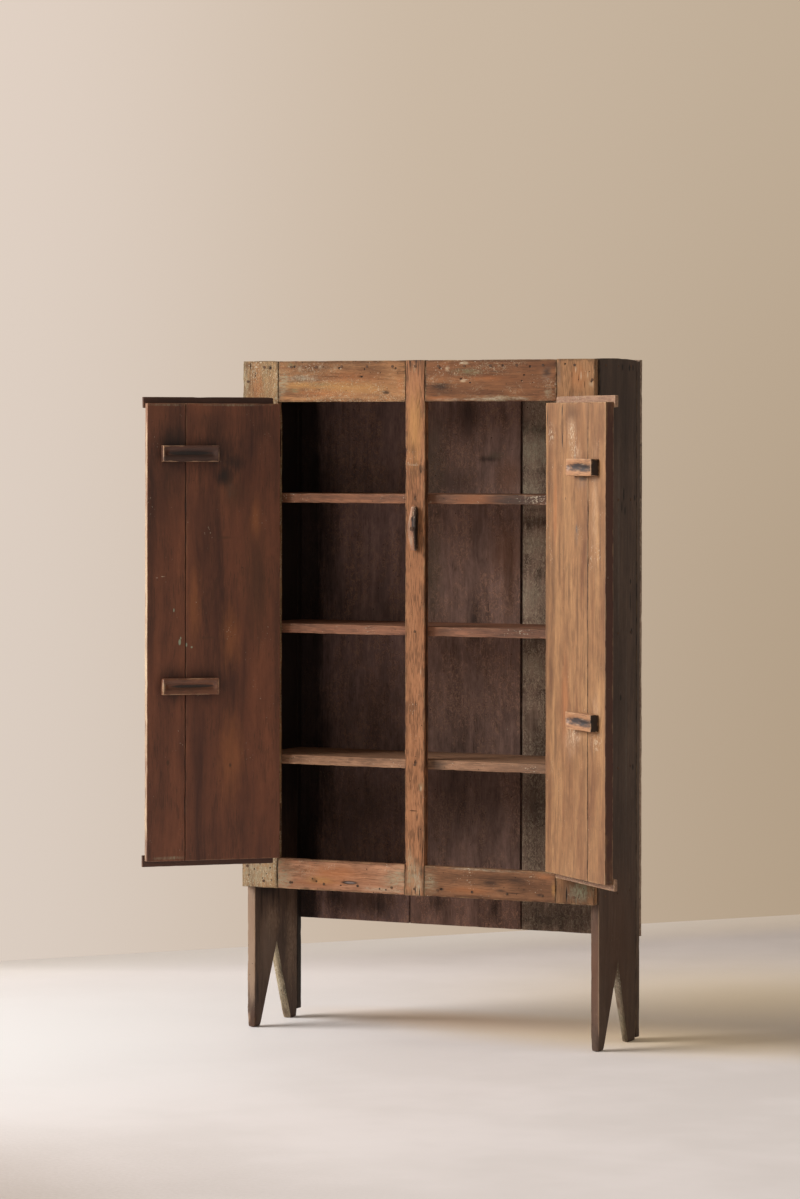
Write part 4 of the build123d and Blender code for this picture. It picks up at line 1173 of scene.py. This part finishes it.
# The wall runs through two points on the floor, each so far ahead of the camera and beside it.
ahead = Vector((-math.sin(camera_turn), math.cos(camera_turn), 0))
right = Vector((math.cos(camera_turn), math.sin(camera_turn), 0))
ground = Vector((camera_place.x, camera_place.y, 0))
wall_left = ground + ahead * 11.88 - right * 1.15
wall_right = ground + ahead * 13.09 + right * 1.27
along = (wall_right - wall_left).normalized()

# Near the wall the floor is painted lighter, as light where the wall shades it, and glows a little to the camera
# as the wall does.
before_wall = steps.vector("SUBTRACT", tuple(wall_left), on_floor)
from_wall = steps.vector("DOT_PRODUCT", before_wall, (-along.y, along.x, 0.0))
by_wall = steps.smooth(from_wall, 0.0, 0.5, 1.0, 0.0)
going_right = steps.smooth(steps.split(on_floor)[0], -0.9, 0.1)
painted_light_by_wall = steps.mix(going_right, tone("FAF7F4"), tone("FCEEDC"))
steps.put(steps.mix(by_wall, floor_colour, painted_light_by_wall), shader.inputs["Base Color"])
painted_glow_by_wall = steps.mix(going_right, tone("D8CBC0"), tone("C9B9A8"))
glow_to_camera(steps, shader, painted_glow_by_wall, steps.times(by_wall, 0.6))

up = Vector((0, 0, wall_height))
wall_start, wall_end = wall_left - along * 0.4, wall_left + along * wall_length
steps, shader = stage_plane("wall", [wall_start, wall_end, wall_end + up, wall_start + up])
shader.inputs["Base Color"].default_value = tone("CFC0B0")
shader.inputs["Roughness"].default_value = 0.9
on_wall = steps.vector("SUBTRACT", steps.own_axes(), tuple(wall_left))
run = steps.vector("DOT_PRODUCT", on_wall, tuple(along))
rise = steps.split(on_wall)[2]
# Painted light: the window's light on the wall, as a fall from cream to tan away from the window and a paler band
# higher up.
cream_to_buff = steps.mix(steps.smooth(run, -0.2, 1.5), tone("DCCEC2"), tone("C6B39F"))
buff_to_tan = steps.mix(steps.smooth(run, 1.0, 3.0), cream_to_buff, tone("B29E86"))
high_wall = steps.mix(steps.smooth(run, -0.2, 1.5), tone("ECD9CA"), tone("D6C5B0"))
high = steps.mix(steps.smooth(rise, 0.4, 3.2), buff_to_tan, high_wall)
glow_to_camera(steps, shader, steps.mix(0.35, buff_to_tan, high))
clear_from_behind(steps)
print("wall", round((wall_left - ground).length, 1), "m from the camera")

# %% [markdown]
# ## Light
#
# One big soft window stands far to the left and a little in front.  Far, because then the whole
# height of the cupboard is lit alike; big, because then the shadows on the floor go soft within
# a hand's breadth of the feet.  The room's own glow fills the shade.

# %% Light
window_turn = math.radians(33)
window_rise = 0.45
window_away = 9.0
key = new_object("window", bpy.data.lights.new("window", "AREA"))
key.data.shape = "RECTANGLE"
key.data.size = 6.0
key.data.size_y = 4.6
key.data.energy = 1150
key.data.color = (1.0, 0.975, 0.95)
light_from = Vector((-math.cos(window_turn), -math.sin(window_turn), window_rise)).normalized()
key.location = Vector((0, 0, 1.0)) + light_from * window_away
key.rotation_mode = "QUATERNION"
key.rotation_quaternion = light_from.to_track_quat("Z", "Y")

world = bpy.data.worlds.new("room")
bpy.context.scene.world = world
world.use_nodes = True
glow = world.node_tree.nodes["Background"].inputs
glow["Color"].default_value = (1.0, 0.93, 0.83, 1.0)
glow["Strength"].default_value = 0.4
bpy.context.scene.view_settings.view_transform = "Standard"
print("window", key.data.energy, "W at", window_away, "m")
